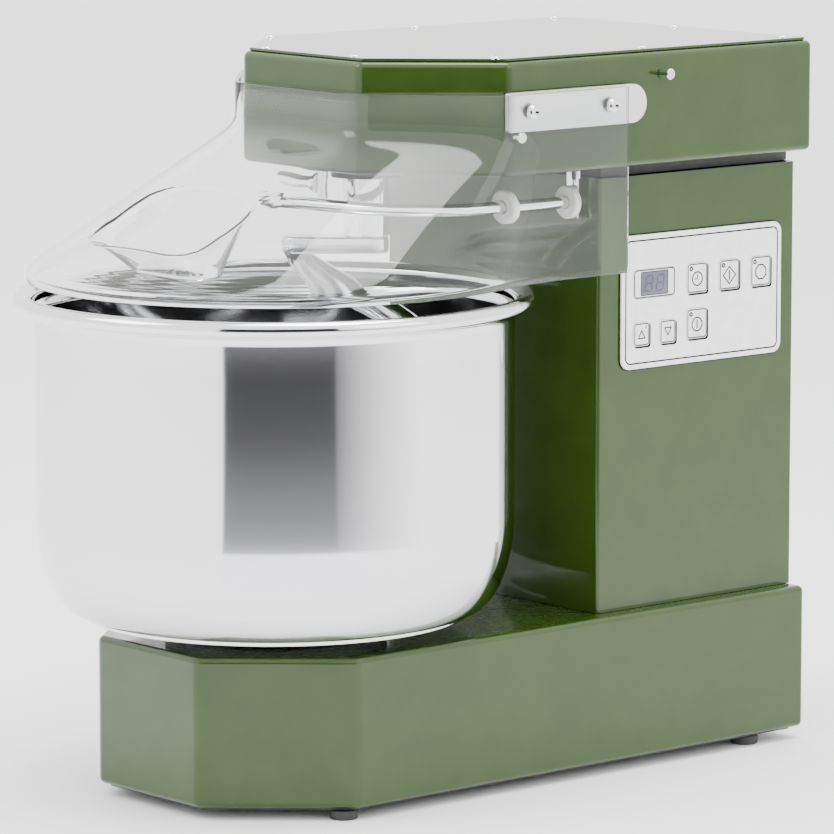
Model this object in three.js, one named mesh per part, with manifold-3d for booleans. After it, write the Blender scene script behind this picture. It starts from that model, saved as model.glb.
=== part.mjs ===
// Compact spiral dough mixer: cabinet base, column and head, turning bowl, spiral, hinged clear guard.
// Units are millimetres, +Z is up, +Y runs from the bowl to the back of the machine.
// While it is built, Y = 0 is the front of the base and Z = 0 is the table.
import * as THREE from 'three';
import { mergeVertices } from 'three/addons/utils/BufferGeometryUtils.js';
import Module from 'manifold-3d';

const wasm = await Module();
wasm.setup();

// ---- Driving dimensions ----
const SHEET = 2;                       // painted sheet steel
const GAP = 0.3;                       // clearance left between touching pieces
const FOOT = { radius: 10.5, x: 115, front: 85, back: 478 };
const BASE = { half: 131.5, front: 0, back: 524.5, chamferX: 75.7, chamferY: 84.3, bottom: 9, top: 116.7 };
const COLUMN = { half: 117.2, front: 325, back: 523.2, top: 435.3 };
const HEAD = { half: 136.8, front: 142.9, back: 521.6, chamferX: 72.9, chamferY: 76.8, bottom: 444.9, top: 526.4 };
const COVER = { inset: 4, thickness: 2, head: 1.9 };   // top plate of the head and its screw heads
const FLANGE = 14;                     // folded-in edge that carries a cover or bottom plate
const BOTTOM_PLATE = { inset: 8, thickness: 1.8 };

const BOWL = { y: 118.7, radius: 171.6, wall: 1.5, bottom: 128, straight: 200, cornerRun: 32, top: 349 };
const RIM = { radius: 181, bead: 5.7, z: 355.6 };
const TURNTABLE = { radius: 80, thickness: 9.4 };

const SPIRAL_Y = 204.2;                // axis of the spiral and its shaft
const SPIRAL = { shank: 16.8, stub: 12, bar: 10, arm: 50, top: 386, bottom: 150, turns: 1.3, start: 229 };
const SHAFT_Z = { low: 393, step: 463, high: 484 };   // ends and shoulder of the spiral's shaft

const LAY = { x: -58, y: 420, radius: 10 };           // lay shaft that drives bowl and spiral
const MOTOR = { x: 42, y: 440, radius: 62, bottom: 216, top: 372 };
const PITCH = { bowl: 84, layLow: 16, layPulley: 52, motorPulley: 20, layTop: 36, spiral: 28 };
const CHAIN_Z = { bowl: 50, belt: 178, head: 465 };
const WHEEL = 8;                       // width of each sprocket

const PIVOT = { y: 332, z: 491.5, radius: 6 };        // hinge shaft of the guard
const PLATE = { inner: 140.5, outer: 144.7, front: 213, half: 14 };
const PANEL = { outer: 148, wall: 3, rear: 325.5, bendY: 239, top: 504.2, fold: 473, edge: 379, bottom: 370 };
const COLLAR = { cornerX: 66, frontY: 135.5, sideY: 209 };
const SKIRT_RADIUS = 178;
const CHUTE = { half: 58, front: -9, back: 58, lowHalf: 35, lowFront: 17, lowBack: 43, bottom: 380, wall: 2.5 };

const CONTROLS = { front: 346, back: 508, bottom: 294, top: 392, thickness: 1.8 };
const KEY = { width: 20.4, height: 22.2, travel: 1 };

const machine = new THREE.Group();
machine.position.y = -(BASE.back + BOWL.y - RIM.radius - RIM.bead) / 2;

// ---- Materials ----
const paint = (color, roughness, metalness) => new THREE.MeshStandardMaterial({ color, roughness, metalness });
const GREEN = paint(0x2f4a1c, 0.25, 0.1);
const STEEL = paint(0xb9bbbd, 0.25, 1);
const CHROME = paint(0xd6d7d9, 0.12, 1);
const DARK_STEEL = paint(0x54565a, 0.45, 0.8);
const CAST = paint(0x4b4d50, 0.6, 0.6);
const RUBBER = paint(0x1b1b1d, 0.8, 0);
const WHITE = paint(0xe9e9e6, 0.45, 0);
const LIGHT_PANEL = paint(0xd9dad6, 0.4, 0);
const BLACK = paint(0x1e1f22, 0.5, 0);
const BOARD = paint(0x1f5a3a, 0.6, 0);
const CLEAR = new THREE.MeshStandardMaterial({ color: 0xeef3f2, roughness: 0.1, transparent: true, opacity: 0.35 });

// ---- Shape helpers ----
function put(name, geometry, material) {
  const mesh = new THREE.Mesh(geometry, material);
  mesh.name = name;
  machine.add(mesh);
}

function solid(geometry) {
  const bare = geometry.clone();
  bare.deleteAttribute('normal');
  bare.deleteAttribute('uv');
  const merged = mergeVertices(bare, 1e-4);
  const vertProperties = new Float32Array(merged.attributes.position.array);
  const triVerts = new Uint32Array(merged.index.array);
  return new wasm.Manifold(new wasm.Mesh({ numProp: 3, vertProperties, triVerts }));
}

function geometryOf(manifold) {
  const mesh = manifold.getMesh();
  const geometry = new THREE.BufferGeometry();
  geometry.setAttribute('position', new THREE.BufferAttribute(new Float32Array(mesh.vertProperties), 3));
  geometry.setIndex(new THREE.BufferAttribute(new Uint32Array(mesh.triVerts), 1));
  return geometry;
}

function cut(body, ...tools) {
  return geometryOf(tools.reduce((left, tool) => left.subtract(solid(tool)), solid(body)));
}

function join(first, ...others) {
  return geometryOf(others.reduce((sum, other) => sum.add(solid(other)), solid(first)));
}

function box(x0, x1, y0, y1, z0, z1) {
  const shape = new THREE.BoxGeometry(x1 - x0, y1 - y0, z1 - z0);
  return shape.translate((x0 + x1) / 2, (y0 + y1) / 2, (z0 + z1) / 2);
}

// Upright cylinder between two heights.
function post(x, y, radius, z0, z1, sides = 32) {
  const shape = new THREE.CylinderGeometry(radius, radius, z1 - z0, sides).rotateX(Math.PI / 2);
  return shape.translate(x, y, (z0 + z1) / 2);
}

// Cylinder along X between two places.
function crossRod(y, z, radius, x0, x1, sides = 24) {
  const shape = new THREE.CylinderGeometry(radius, radius, x1 - x0, sides).rotateZ(Math.PI / 2);
  return shape.translate((x0 + x1) / 2, y, z);
}

// Upright body of revolution from a profile of [radius, height] pairs.
function turned(x, y, profile, sides = 36) {
  const points = profile.map(([radius, height]) => new THREE.Vector2(radius, height));
  return new THREE.LatheGeometry(points, sides).rotateX(Math.PI / 2).translate(x, y, 0);
}

// Upright ring with a rectangular section.
function ring(x, y, inner, outer, z0, z1, sides = 32) {
  return turned(x, y, [[inner, z0], [outer, z0], [outer, z1], [inner, z1], [inner, z0]], sides);
}

function prism(points, z0, z1) {
  const shape = new THREE.Shape(points.map(([x, y]) => new THREE.Vector2(x, y)));
  return new THREE.ExtrudeGeometry(shape, { depth: z1 - z0, bevelEnabled: false }).translate(0, 0, z0);
}

// Outline with cut front corners, anticlockwise from the back left.
function cabinet({ half, front, back, chamferX = 0, chamferY = 0 }) {
  const corners = [[-half, back], [-half, front + chamferY], [-half + chamferX, front]];
  const mirrored = corners.map(([x, y]) => [-x, y]).reverse();
  return [...corners, ...mirrored].filter(([x, y], i, all) => i === 0 || x !== all[i - 1][0] || y !== all[i - 1][1]);
}

// Each corner of an anticlockwise outline moved inwards so that its sides keep one distance.
function inset(points, distance) {
  return points.map((point, i) => {
    const here = new THREE.Vector2(...point);
    const before = new THREE.Vector2(...points.at(i - 1));
    const after = new THREE.Vector2(...points[(i + 1) % points.length]);
    const sideIn = here.clone().sub(before).normalize();
    const sideOut = after.sub(here).normalize();
    const normalIn = new THREE.Vector2(-sideIn.y, sideIn.x);
    const normalOut = new THREE.Vector2(-sideOut.y, sideOut.x);
    const reach = distance / (1 + normalIn.dot(normalOut));
    return [here.x + (normalIn.x + normalOut.x) * reach, here.y + (normalIn.y + normalOut.y) * reach];
  });
}

// Round bar of constant section along a curve.
function bar(points, radius, steps, sides = 12, tension = 0.5) {
  const path = new THREE.CatmullRomCurve3(points.map((p) => new THREE.Vector3(...p)), false, 'catmullrom', tension);
  const section = new THREE.Shape();
  for (let i = 0; i < sides; i += 1) {
    const angle = (2 * Math.PI * i) / sides;
    const place = [radius * Math.cos(angle), radius * Math.sin(angle)];
    if (i === 0) section.moveTo(...place);
    else section.lineTo(...place);
  }
  return new THREE.ExtrudeGeometry(section, { steps, extrudePath: path, bevelEnabled: false });
}

// Belt or chain round two wheels, as a flat band of constant thickness.
function loopOutline(a, b, grow, steps = 24) {
  const along = Math.atan2(b.y - a.y, b.x - a.x);
  const lean = Math.acos((a.radius - b.radius) / Math.hypot(b.x - a.x, b.y - a.y));
  const points = [];
  for (let i = 0; i <= steps; i += 1) {
    const angle = along + lean + ((2 * Math.PI - 2 * lean) * i) / steps;
    points.push([a.x + (a.radius + grow) * Math.cos(angle), a.y + (a.radius + grow) * Math.sin(angle)]);
  }
  for (let i = 0; i <= steps; i += 1) {
    const angle = along - lean + (2 * lean * i) / steps;
    points.push([b.x + (b.radius + grow) * Math.cos(angle), b.y + (b.radius + grow) * Math.sin(angle)]);
  }
  return points;
}

function band(a, b, thickness, z0, z1) {
  const lift = 0.8;                    // leaves the wheels free to turn inside the loop
  return cut(prism(loopOutline(a, b, thickness + lift), z0, z1), prism(loopOutline(a, b, lift), z0 - 1, z1 + 1));
}

// ---- Base ----
function buildBase() {
  const outline = cabinet(BASE);
  put('base_housing', cut(
    prism(outline, BASE.bottom, BASE.top),
    prism(inset(outline, SHEET), BASE.bottom + SHEET, BASE.top - SHEET),
    prism(inset(outline, FLANGE), BASE.bottom - 1, BASE.bottom + SHEET + 1),
    post(0, BOWL.y, 32, 0, 200),
    post(LAY.x, LAY.y, LAY.radius + 4, 0, 200),
  ), GREEN);
  const plate = inset(outline, BOTTOM_PLATE.inset);
  const plateHigh = BASE.bottom - GAP;
  const plateLow = plateHigh - BOTTOM_PLATE.thickness;
  const places = [];
  for (const [side, x] of [['left', -FOOT.x], ['right', FOOT.x]]) {
    for (const [end, y] of [['front', FOOT.front], ['back', FOOT.back]]) places.push([`foot_${end}_${side}`, x, y]);
  }
  const screwHoles = places.map(([, x, y]) => post(x, y, 3.3, 0, 30, 16));
  put('base_bottom_plate', cut(prism(plate, plateLow, plateHigh), ...screwHoles), BLACK);
  for (const [name, x, y] of places) {
    const recess = 6.2;
    const head = 3.2;
    const low = FOOT.radius - 1;
    const high = plateLow - GAP;
    const profile = [[recess, 0], [low, 0], [FOOT.radius, 1.5], [FOOT.radius, high], [3.3, high], [3.3, head]];
    put(name, turned(x, y, [...profile, [recess, head], [recess, 0]], 20), RUBBER);
  }
}

// ---- Turning bowl and its drive ----
function bowlProfile() {
  const outer = [];
  const steps = 6;
  const rise = BOWL.straight - BOWL.bottom;
  for (let i = 0; i <= steps; i += 1) {
    const angle = (Math.PI / 2) * (i / steps);
    const radius = BOWL.radius - BOWL.cornerRun * (1 - Math.sin(angle));
    outer.push([radius, BOWL.straight - rise * Math.cos(angle)]);
  }
  outer.push([BOWL.radius + 0.4, BOWL.top]);
  const bead = [];
  const beadSteps = 8;
  for (let i = 0; i <= beadSteps; i += 1) {
    const angle = -0.75 * Math.PI + (1.5 * Math.PI * i) / beadSteps;
    bead.push([RIM.radius + RIM.bead * Math.cos(angle), RIM.z + RIM.bead * Math.sin(angle)]);
  }
  const inner = outer.map(([radius, z]) => [radius - BOWL.wall, Math.max(z, BOWL.bottom + BOWL.wall)]).reverse();
  const flange = [[RIM.radius - RIM.bead - 2.5, RIM.z + 1.2]];
  return [[0, BOWL.bottom], ...outer, ...bead, ...flange, ...inner, [0, BOWL.bottom + BOWL.wall]];
}

function buildBowl() {
  put('bowl', turned(0, BOWL.y, bowlProfile(), 64), STEEL);
  const tableTop = BOWL.bottom - GAP;
  put('bowl_turntable', ring(0, BOWL.y, 15.3, TURNTABLE.radius, tableTop - TURNTABLE.thickness, tableTop, 40), CAST);
  put('bowl_shaft', post(0, BOWL.y, 15, 40, tableTop), DARK_STEEL);
  const flangeTop = BASE.top - SHEET - GAP;
  const housing = [[15.3, 64], [31.5, 64], [31.5, 106], [58, 106], [58, flangeTop], [15.3, flangeTop], [15.3, 64]];
  put('bowl_bearing_housing', turned(0, BOWL.y, housing), CAST);
}

// ---- Wheels, belt and chains ----
const bowlWheel = { x: 0, y: BOWL.y, radius: PITCH.bowl };
const layLowWheel = { x: LAY.x, y: LAY.y, radius: PITCH.layLow };
const layPulley = { x: LAY.x, y: LAY.y, radius: PITCH.layPulley };
const motorPulley = { x: MOTOR.x, y: MOTOR.y, radius: PITCH.motorPulley };
const layTopWheel = { x: LAY.x, y: LAY.y, radius: PITCH.layTop };
const spiralWheel = { x: 0, y: SPIRAL_Y, radius: PITCH.spiral };

function wheel(name, place, bore, z0, width, material) {
  put(name, ring(place.x, place.y, bore + GAP, place.radius, z0, z0 + width), material);
}

function buildDrive() {
  const beltWidth = 22;
  wheel('bowl_sprocket', bowlWheel, 15, CHAIN_Z.bowl, WHEEL, DARK_STEEL);
  wheel('lay_sprocket_lower', layLowWheel, LAY.radius, CHAIN_Z.bowl, WHEEL, DARK_STEEL);
  wheel('lay_pulley', layPulley, LAY.radius, CHAIN_Z.belt, beltWidth, CAST);
  wheel('motor_pulley', motorPulley, 7, CHAIN_Z.belt, beltWidth, CAST);
  wheel('lay_sprocket_upper', layTopWheel, LAY.radius, CHAIN_Z.head, WHEEL, DARK_STEEL);
  wheel('spiral_sprocket', spiralWheel, 12, CHAIN_Z.head, WHEEL, DARK_STEEL);
  put('bowl_chain', band(bowlWheel, layLowWheel, 4, CHAIN_Z.bowl + 1, CHAIN_Z.bowl + WHEEL - 1), STEEL);
  put('drive_belt', band(layPulley, motorPulley, 3, CHAIN_Z.belt + 1, CHAIN_Z.belt + beltWidth - 1), RUBBER);
  put('spiral_chain', band(layTopWheel, spiralWheel, 4, CHAIN_Z.head + 1, CHAIN_Z.head + WHEEL - 1), STEEL);
  put('lay_shaft', post(LAY.x, LAY.y, LAY.radius, 36, 480), DARK_STEEL);
  const bearing = (low, high) => ring(LAY.x, LAY.y, LAY.radius + GAP, 30, low, high, 32);
  put('lay_shaft_bearing_lower', bearing(BASE.top + GAP, 134), CAST);
  put('lay_shaft_bearing_upper', bearing(418, COLUMN.top - GAP), CAST);
}

function buildMotor() {
  const bell = 50;
  const low = MOTOR.bottom;
  const high = MOTOR.top;
  const frame = turned(MOTOR.x, MOTOR.y, [
    [0, low], [bell, low], [MOTOR.radius, low + 12], [MOTOR.radius, high - 14], [bell, high], [0, high],
  ], 32);
  put('motor', frame, DARK_STEEL);
  put('motor_shaft', post(MOTOR.x, MOTOR.y, 7, 172, low - GAP), STEEL);
  const side = COLUMN.half - SHEET - GAP;
  put('motor_bracket', cut(
    box(-side, side, 352, 515, 206, low - GAP),
    post(MOTOR.x, MOTOR.y, 16, 150, 300),
    post(LAY.x, LAY.y, LAY.radius + 4, 150, 300),
  ), DARK_STEEL);
}

// ---- Column ----
function buildColumn() {
  const low = BASE.top + GAP;
  const outline = cabinet(COLUMN);
  const hollow = cabinet({ half: COLUMN.half - SHEET, front: COLUMN.front + SHEET, back: COLUMN.back + 10 });
  const margin = 12;
  put('column_housing', cut(
    prism(outline, low, COLUMN.top),
    prism(hollow, low - 1, COLUMN.top + 1),
    box(100, 130, CONTROLS.front + margin / 2, CONTROLS.back - margin / 2, CONTROLS.bottom + margin, CONTROLS.top - 5),
  ), GREEN);
  const coverHalf = COLUMN.half - SHEET - GAP;
  const coverFront = COLUMN.back - SHEET;
  put('column_rear_cover', cut(
    box(-coverHalf, coverHalf, coverFront, COLUMN.back, low, COLUMN.top),
    crossRod(0, 0, 9, -20, 20).rotateZ(Math.PI / 2).translate(-70, COLUMN.back, 160),
  ), GREEN);
  const inlet = [[0, -14], [8.6, -14], [8.6, 0], [0, 0]];
  put('power_inlet', turned(0, 0, inlet, 24).rotateX(-Math.PI / 2).translate(-70, COLUMN.back, 160), BLACK);
  const recess = 8;
  const spacer = { half: COLUMN.half - recess, front: COLUMN.front + recess, back: COLUMN.back - 1 };
  put('head_mounting_plate', cut(
    prism(cabinet(spacer), COLUMN.top + GAP, HEAD.bottom - GAP),
    post(LAY.x, LAY.y, LAY.radius + 4, 400, 500),
    box(-15, 60, 360, 400, 400, 500),
  ), BLACK);
}

// ---- Control panel ----
const keys = [
  ['key_timer', 421.2, 356.2],
  ['key_start', 453.9, 356.2],
  ['key_stop', 486.3, 356.2],
  ['key_power', 421.2, 322.6],
];
const smallKeys = [['key_up', 365.5, 319.2], ['key_down', 391.8, 319.2]];
const SMALL_KEY = { width: 15.6, height: 17.2 };
const WINDOW = { front: 358, back: 399, bottom: 345.5, top: 366.5 };

function buildControls() {
  const inner = COLUMN.half + GAP;
  const outer = inner + CONTROLS.thickness;
  const boardFace = inner - 7;
  const holes = [];
  const switches = [];
  const caps = [...keys.map((k) => [...k, KEY]), ...smallKeys.map((k) => [...k, SMALL_KEY])];
  for (const [name, y, z, size] of caps) {
    const [w, h] = [size.width / 2, size.height / 2];
    holes.push(box(100, 140, y - w - GAP, y + w + GAP, z - h - GAP, z + h + GAP));
    const cap = box(inner - 4, outer + 0.7, y - w, y + w, z - h, z + h);
    put(name, cap, LIGHT_PANEL);
    switches.push(box(boardFace - 1, inner - 4 - KEY.travel - 0.2, y - 4, y + 4, z - 4, z + 4));
  }
  const [y0, y1, z0, z1] = [WINDOW.front, WINDOW.back, WINDOW.bottom, WINDOW.top];
  holes.push(box(100, 140, y0 - GAP, y1 + GAP, z0 - GAP, z1 + GAP));
  put('control_panel', cut(
    box(inner, outer, CONTROLS.front, CONTROLS.back, CONTROLS.bottom, CONTROLS.top), ...holes,
  ), LIGHT_PANEL);
  put('display_window', box(outer - 1.5, outer + 0.2, y0, y1, z0, z1), BLACK);
  const display = box(boardFace - 1, outer - 1.8, y0 + 1, y1 - 1, z0 + 1, z1 - 1);
  put('circuit_board', join(box(boardFace - 1.6, boardFace, 356, 499, 304, 386), display, ...switches), BOARD);
}

// ---- Head ----
const COVER_SCREWS = [[49, 152], [-49, 152], [0, 510]];
for (const y of [218, 360, 502]) COVER_SCREWS.push([125, y], [-125, y]);

function buildHead() {
  const outline = cabinet(HEAD);
  const wall = (sign) => crossRod(PIVOT.y, PIVOT.z, 9.3, sign * HEAD.half - 10, sign * HEAD.half + 10, 24);
  put('head_housing', cut(
    prism(outline, HEAD.bottom, HEAD.top),
    prism(inset(outline, SHEET), HEAD.bottom + SHEET, HEAD.top - SHEET),
    prism(inset(outline, FLANGE), HEAD.top - SHEET - 1, HEAD.top + 1),
    post(0, SPIRAL_Y, 26, 400, 460),
    post(LAY.x, LAY.y, LAY.radius + 4, 400, 460),
    wall(1),
    wall(-1),
  ), GREEN);
  const coverLow = HEAD.top + GAP;
  const coverHigh = coverLow + COVER.thickness;
  const plate = prism(inset(outline, COVER.inset), coverLow, coverHigh);
  const heads = COVER_SCREWS.map(([x, y]) => post(x, y, 4.4, coverHigh - 1, coverHigh + COVER.head, 16));
  put('head_top_cover', join(plate, ...heads), GREEN);
}

// ---- Spiral ----
function spiralPath() {
  const points = [];
  const steps = 26;
  const start = THREE.MathUtils.degToRad(SPIRAL.start);
  for (let i = 0; i <= steps; i += 1) {
    const share = i / steps;
    const tuck = Math.max(0, share - 0.75) / 0.25;
    const radius = SPIRAL.arm + 3 * Math.min(1, share * 4) - 22 * tuck * tuck;
    const angle = start - 2 * Math.PI * SPIRAL.turns * share;
    const z = THREE.MathUtils.lerp(SPIRAL.top - SPIRAL.bar, SPIRAL.bottom, share);
    points.push([radius * Math.cos(angle), SPIRAL_Y + radius * Math.sin(angle), z]);
  }
  return points;
}

function buildSpiral() {
  const housing = [
    [17.3, 436], [25.7, 436], [25.7, 447.2], [44, 447.2], [44, 455], [30, 455], [30, 462], [17.3, 462],
  ];
  put('spiral_bearing_housing', turned(0, SPIRAL_Y, [...housing, [17.3, 436]], 32), CAST);
  const { low, step, high } = SHAFT_Z;
  const { shank, stub } = SPIRAL;
  const shaft = [[0, low], [shank, low], [shank, step], [stub, step], [stub, high], [0, high]];
  put('spiral_shaft', turned(0, SPIRAL_Y, shaft, 36), CHROME);
  const angle = THREE.MathUtils.degToRad(SPIRAL.start);
  const armLow = SPIRAL.top - 12;
  const armHigh = low - GAP;
  const end = [SPIRAL.arm * Math.cos(angle), SPIRAL_Y + SPIRAL.arm * Math.sin(angle)];
  const outline = loopOutline({ x: 0, y: SPIRAL_Y, radius: 17 }, { x: end[0], y: end[1], radius: 15 }, 0, 10);
  const arm = prism(outline, armLow, armHigh);
  put('spiral_hook', join(arm, bar(spiralPath(), SPIRAL.bar, 44, 10)), STEEL);
}

// ---- Deflector bar under the head ----
const BOW = { x: 95, radius: 4.5, z: 417.8, bracketY: 318 };

function buildDeflector() {
  const route = [
    [BOW.x, COLUMN.front - GAP],
    [BOW.x, 290],
    [BOW.x, 262],
    [BOW.x, 245],
    [91.5, 224],
    [82.5, 204],
    [64, 183.5],
    [36, 167.6],
    [0, 163],
    [-32, 158.5],
    [-62, 157],
  ].map(([x, y]) => [x, y, BOW.z]);
  const half = BOW.radius + 1.5;
  const bracket = box(BOW.x - half, BOW.x + half, BOW.bracketY, BOW.bracketY + 3, BOW.z - 12, HEAD.bottom - GAP);
  put('deflector_bar', join(bar(route, BOW.radius, 32, 10), bracket), CHROME);
  const hanger = [0, 163];
  const seat = BOW.z + BOW.radius + GAP;
  const buffer = [[0, 0], [8, 0], [8, 3.5], [5, 5], [5, 40], [3.4, 44], [0, 44]];
  const side = turned(0, 0, buffer, 24).rotateY(-Math.PI / 2).translate(hanger[0] - 2, hanger[1], 434);
  put('bar_hanger', join(post(...hanger, 3.8, seat, HEAD.bottom - GAP, 20), side), CHROME);
  for (const [name, y] of [['bar_disc_front', 254], ['bar_disc_rear', BOW.bracketY - 4]]) {
    put(name, ringAlongY(BOW.x, y, BOW.z, BOW.radius + 0.45, 12, 6), WHITE);
  }
}

function ringAlongY(x, y, z, inner, outer, width) {
  return ring(0, 0, inner, outer, -width / 2, width / 2, 28).rotateX(Math.PI / 2).translate(x, y, z);
}

// ---- Guard ----
// Front part of the guard's edge, from the right bend to the left bend, as matching points.
function sweep(right, middle) {
  const left = right.slice().reverse().map(([x, y]) => [-x, y]);
  return [...right, ...middle, ...left];
}

const EDGE_STEPS = 9;
const FRONT_STEPS = 7;

function collarEdge() {
  const side = new THREE.Vector2(PANEL.outer, COLLAR.sideY);
  const corner = new THREE.Vector2(COLLAR.cornerX, COLLAR.frontY);
  const right = [[PANEL.outer, PANEL.rear], [PANEL.outer, PANEL.bendY]];
  for (let i = 0; i <= EDGE_STEPS; i += 1) right.push(side.clone().lerp(corner, i / EDGE_STEPS).toArray());
  const middle = [];
  for (let i = 1; i < FRONT_STEPS; i += 1) {
    middle.push([COLLAR.cornerX * (1 - (2 * i) / FRONT_STEPS), COLLAR.frontY]);
  }
  return sweep(right, middle);
}

function skirtEdge() {
  const onCircle = (degrees) => {
    const angle = THREE.MathUtils.degToRad(degrees);
    return [SKIRT_RADIUS * Math.cos(angle), BOWL.y + SKIRT_RADIUS * Math.sin(angle)];
  };
  const [sideAngle, cornerAngle] = [18, -62];
  const right = [[PANEL.outer, PANEL.rear], [PANEL.outer, PANEL.bendY]];
  for (let i = 0; i <= EDGE_STEPS; i += 1) {
    right.push(onCircle(sideAngle + ((cornerAngle - sideAngle) * i) / EDGE_STEPS));
  }
  const middle = [];
  for (let i = 1; i < FRONT_STEPS; i += 1) {
    middle.push(onCircle(cornerAngle + ((-180 - 2 * cornerAngle) * i) / FRONT_STEPS));
  }
  return sweep(right, middle);
}

// Closed body through a stack of outlines with the same number of points.
function loft(levels) {
  const count = levels[0].points.length;
  const vertices = levels.flatMap(({ points, z, zs }) => points.map(([x, y], i) => [x, y, zs ? zs[i] : z]));
  const faces = [];
  for (let level = 0; level + 1 < levels.length; level += 1) {
    for (let i = 0; i < count; i += 1) {
      const next = (i + 1) % count;
      const [a, b] = [level * count + i, level * count + next];
      faces.push([a, b, b + count], [a, b + count, a + count]);
    }
  }
  for (const [level, flip] of [[0, true], [levels.length - 1, false]]) {
    const start = level * count;
    const edge = vertices.slice(start, start + count);
    const middle = vertices.length;
    vertices.push([0, 1, 2].map((axis) => edge.reduce((sum, vertex) => sum + vertex[axis], 0) / count));
    for (let i = 0; i < count; i += 1) {
      const [a, b] = [start + i, start + ((i + 1) % count)];
      faces.push(flip ? [middle, b, a] : [middle, a, b]);
    }
  }
  const geometry = new THREE.BufferGeometry();
  geometry.setAttribute('position', new THREE.Float32BufferAttribute(vertices.flat(), 3));
  geometry.setIndex(faces.flat());
  return geometry;
}

// Anticlockwise rounded rectangle.
function roundedRectangle(half, front, back, radius, steps = 5) {
  const points = [];
  const corners = [[half, back, 0], [-half, back, 90], [-half, front, 180], [half, front, 270]];
  for (const [x, y, from] of corners) {
    const centre = [x - Math.sign(x) * radius, y === back ? back - radius : front + radius];
    for (let i = 0; i <= steps; i += 1) {
      const angle = THREE.MathUtils.degToRad(from + (90 * i) / steps);
      points.push([centre[0] + radius * Math.cos(angle), centre[1] + radius * Math.sin(angle)]);
    }
  }
  return points;
}

function chuteBody(grow, lowGrow) {
  const top = PANEL.fold;
  const mouth = slopeHeight((CHUTE.front + CHUTE.back) / 2);
  const outline = (share, z) => {
    const half = THREE.MathUtils.lerp(CHUTE.lowHalf, CHUTE.half, share) + grow;
    const front = THREE.MathUtils.lerp(CHUTE.lowFront, CHUTE.front, share) - grow;
    const back = THREE.MathUtils.lerp(CHUTE.lowBack, CHUTE.back, share) + grow;
    return { points: roundedRectangle(half, front, back, THREE.MathUtils.lerp(11, 22, share)), z };
  };
  const proud = 1.5;                   // keeps the turn of the mouth just outside the guard's slope
  const tilt = (level) => {
    const zs = level.points.map(([, y]) => slopeHeight(y) + proud);
    return { ...level, zs };
  };
  return loft([outline(0, CHUTE.bottom - lowGrow), tilt(outline(1, mouth)), outline(1, top + 20)]);
}

// Height of the guard's front slope on the centre line.
function slopeHeight(y) {
  const low = BOWL.y - SKIRT_RADIUS;
  return PANEL.edge + ((PANEL.fold - PANEL.edge) * (y - low)) / (COLLAR.frontY - low);
}

function buildGuardShell() {
  const collar = collarEdge().reverse();
  const skirt = skirtEdge().reverse();
  const stack = (grow, over) => [
    { points: inset(skirt, grow), z: PANEL.bottom - over },
    { points: inset(skirt, grow), z: PANEL.edge },
    { points: inset(collar, grow), z: PANEL.fold },
    { points: inset(collar, grow), z: PANEL.top + over },
  ];
  const outer = solid(loft(stack(0, 0)));
  const middle = solid(loft(stack(PANEL.wall / 2, 0)));
  const inner = solid(loft(stack(PANEL.wall, 5)));
  const rearOpening = solid(box(-145, 145, PANEL.rear - 10, PANEL.rear + 10, 300, 600));
  const plug = solid(chuteBody(0, 0)).intersect(middle);
  const skin = outer.subtract(inner).subtract(rearOpening).add(plug).subtract(solid(chuteBody(-CHUTE.wall, 5)));
  const screwHoles = PLATE_SCREWS.map((y) => crossRod(y, PIVOT.z, 3.3, -160, 160, 16));
  const shell = screwHoles.reduce((body, hole) => body.subtract(solid(hole)), skin);
  put('guard_shell', geometryOf(shell), CLEAR);
}

const PLATE_SCREWS = [232.4, 309];

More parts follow.
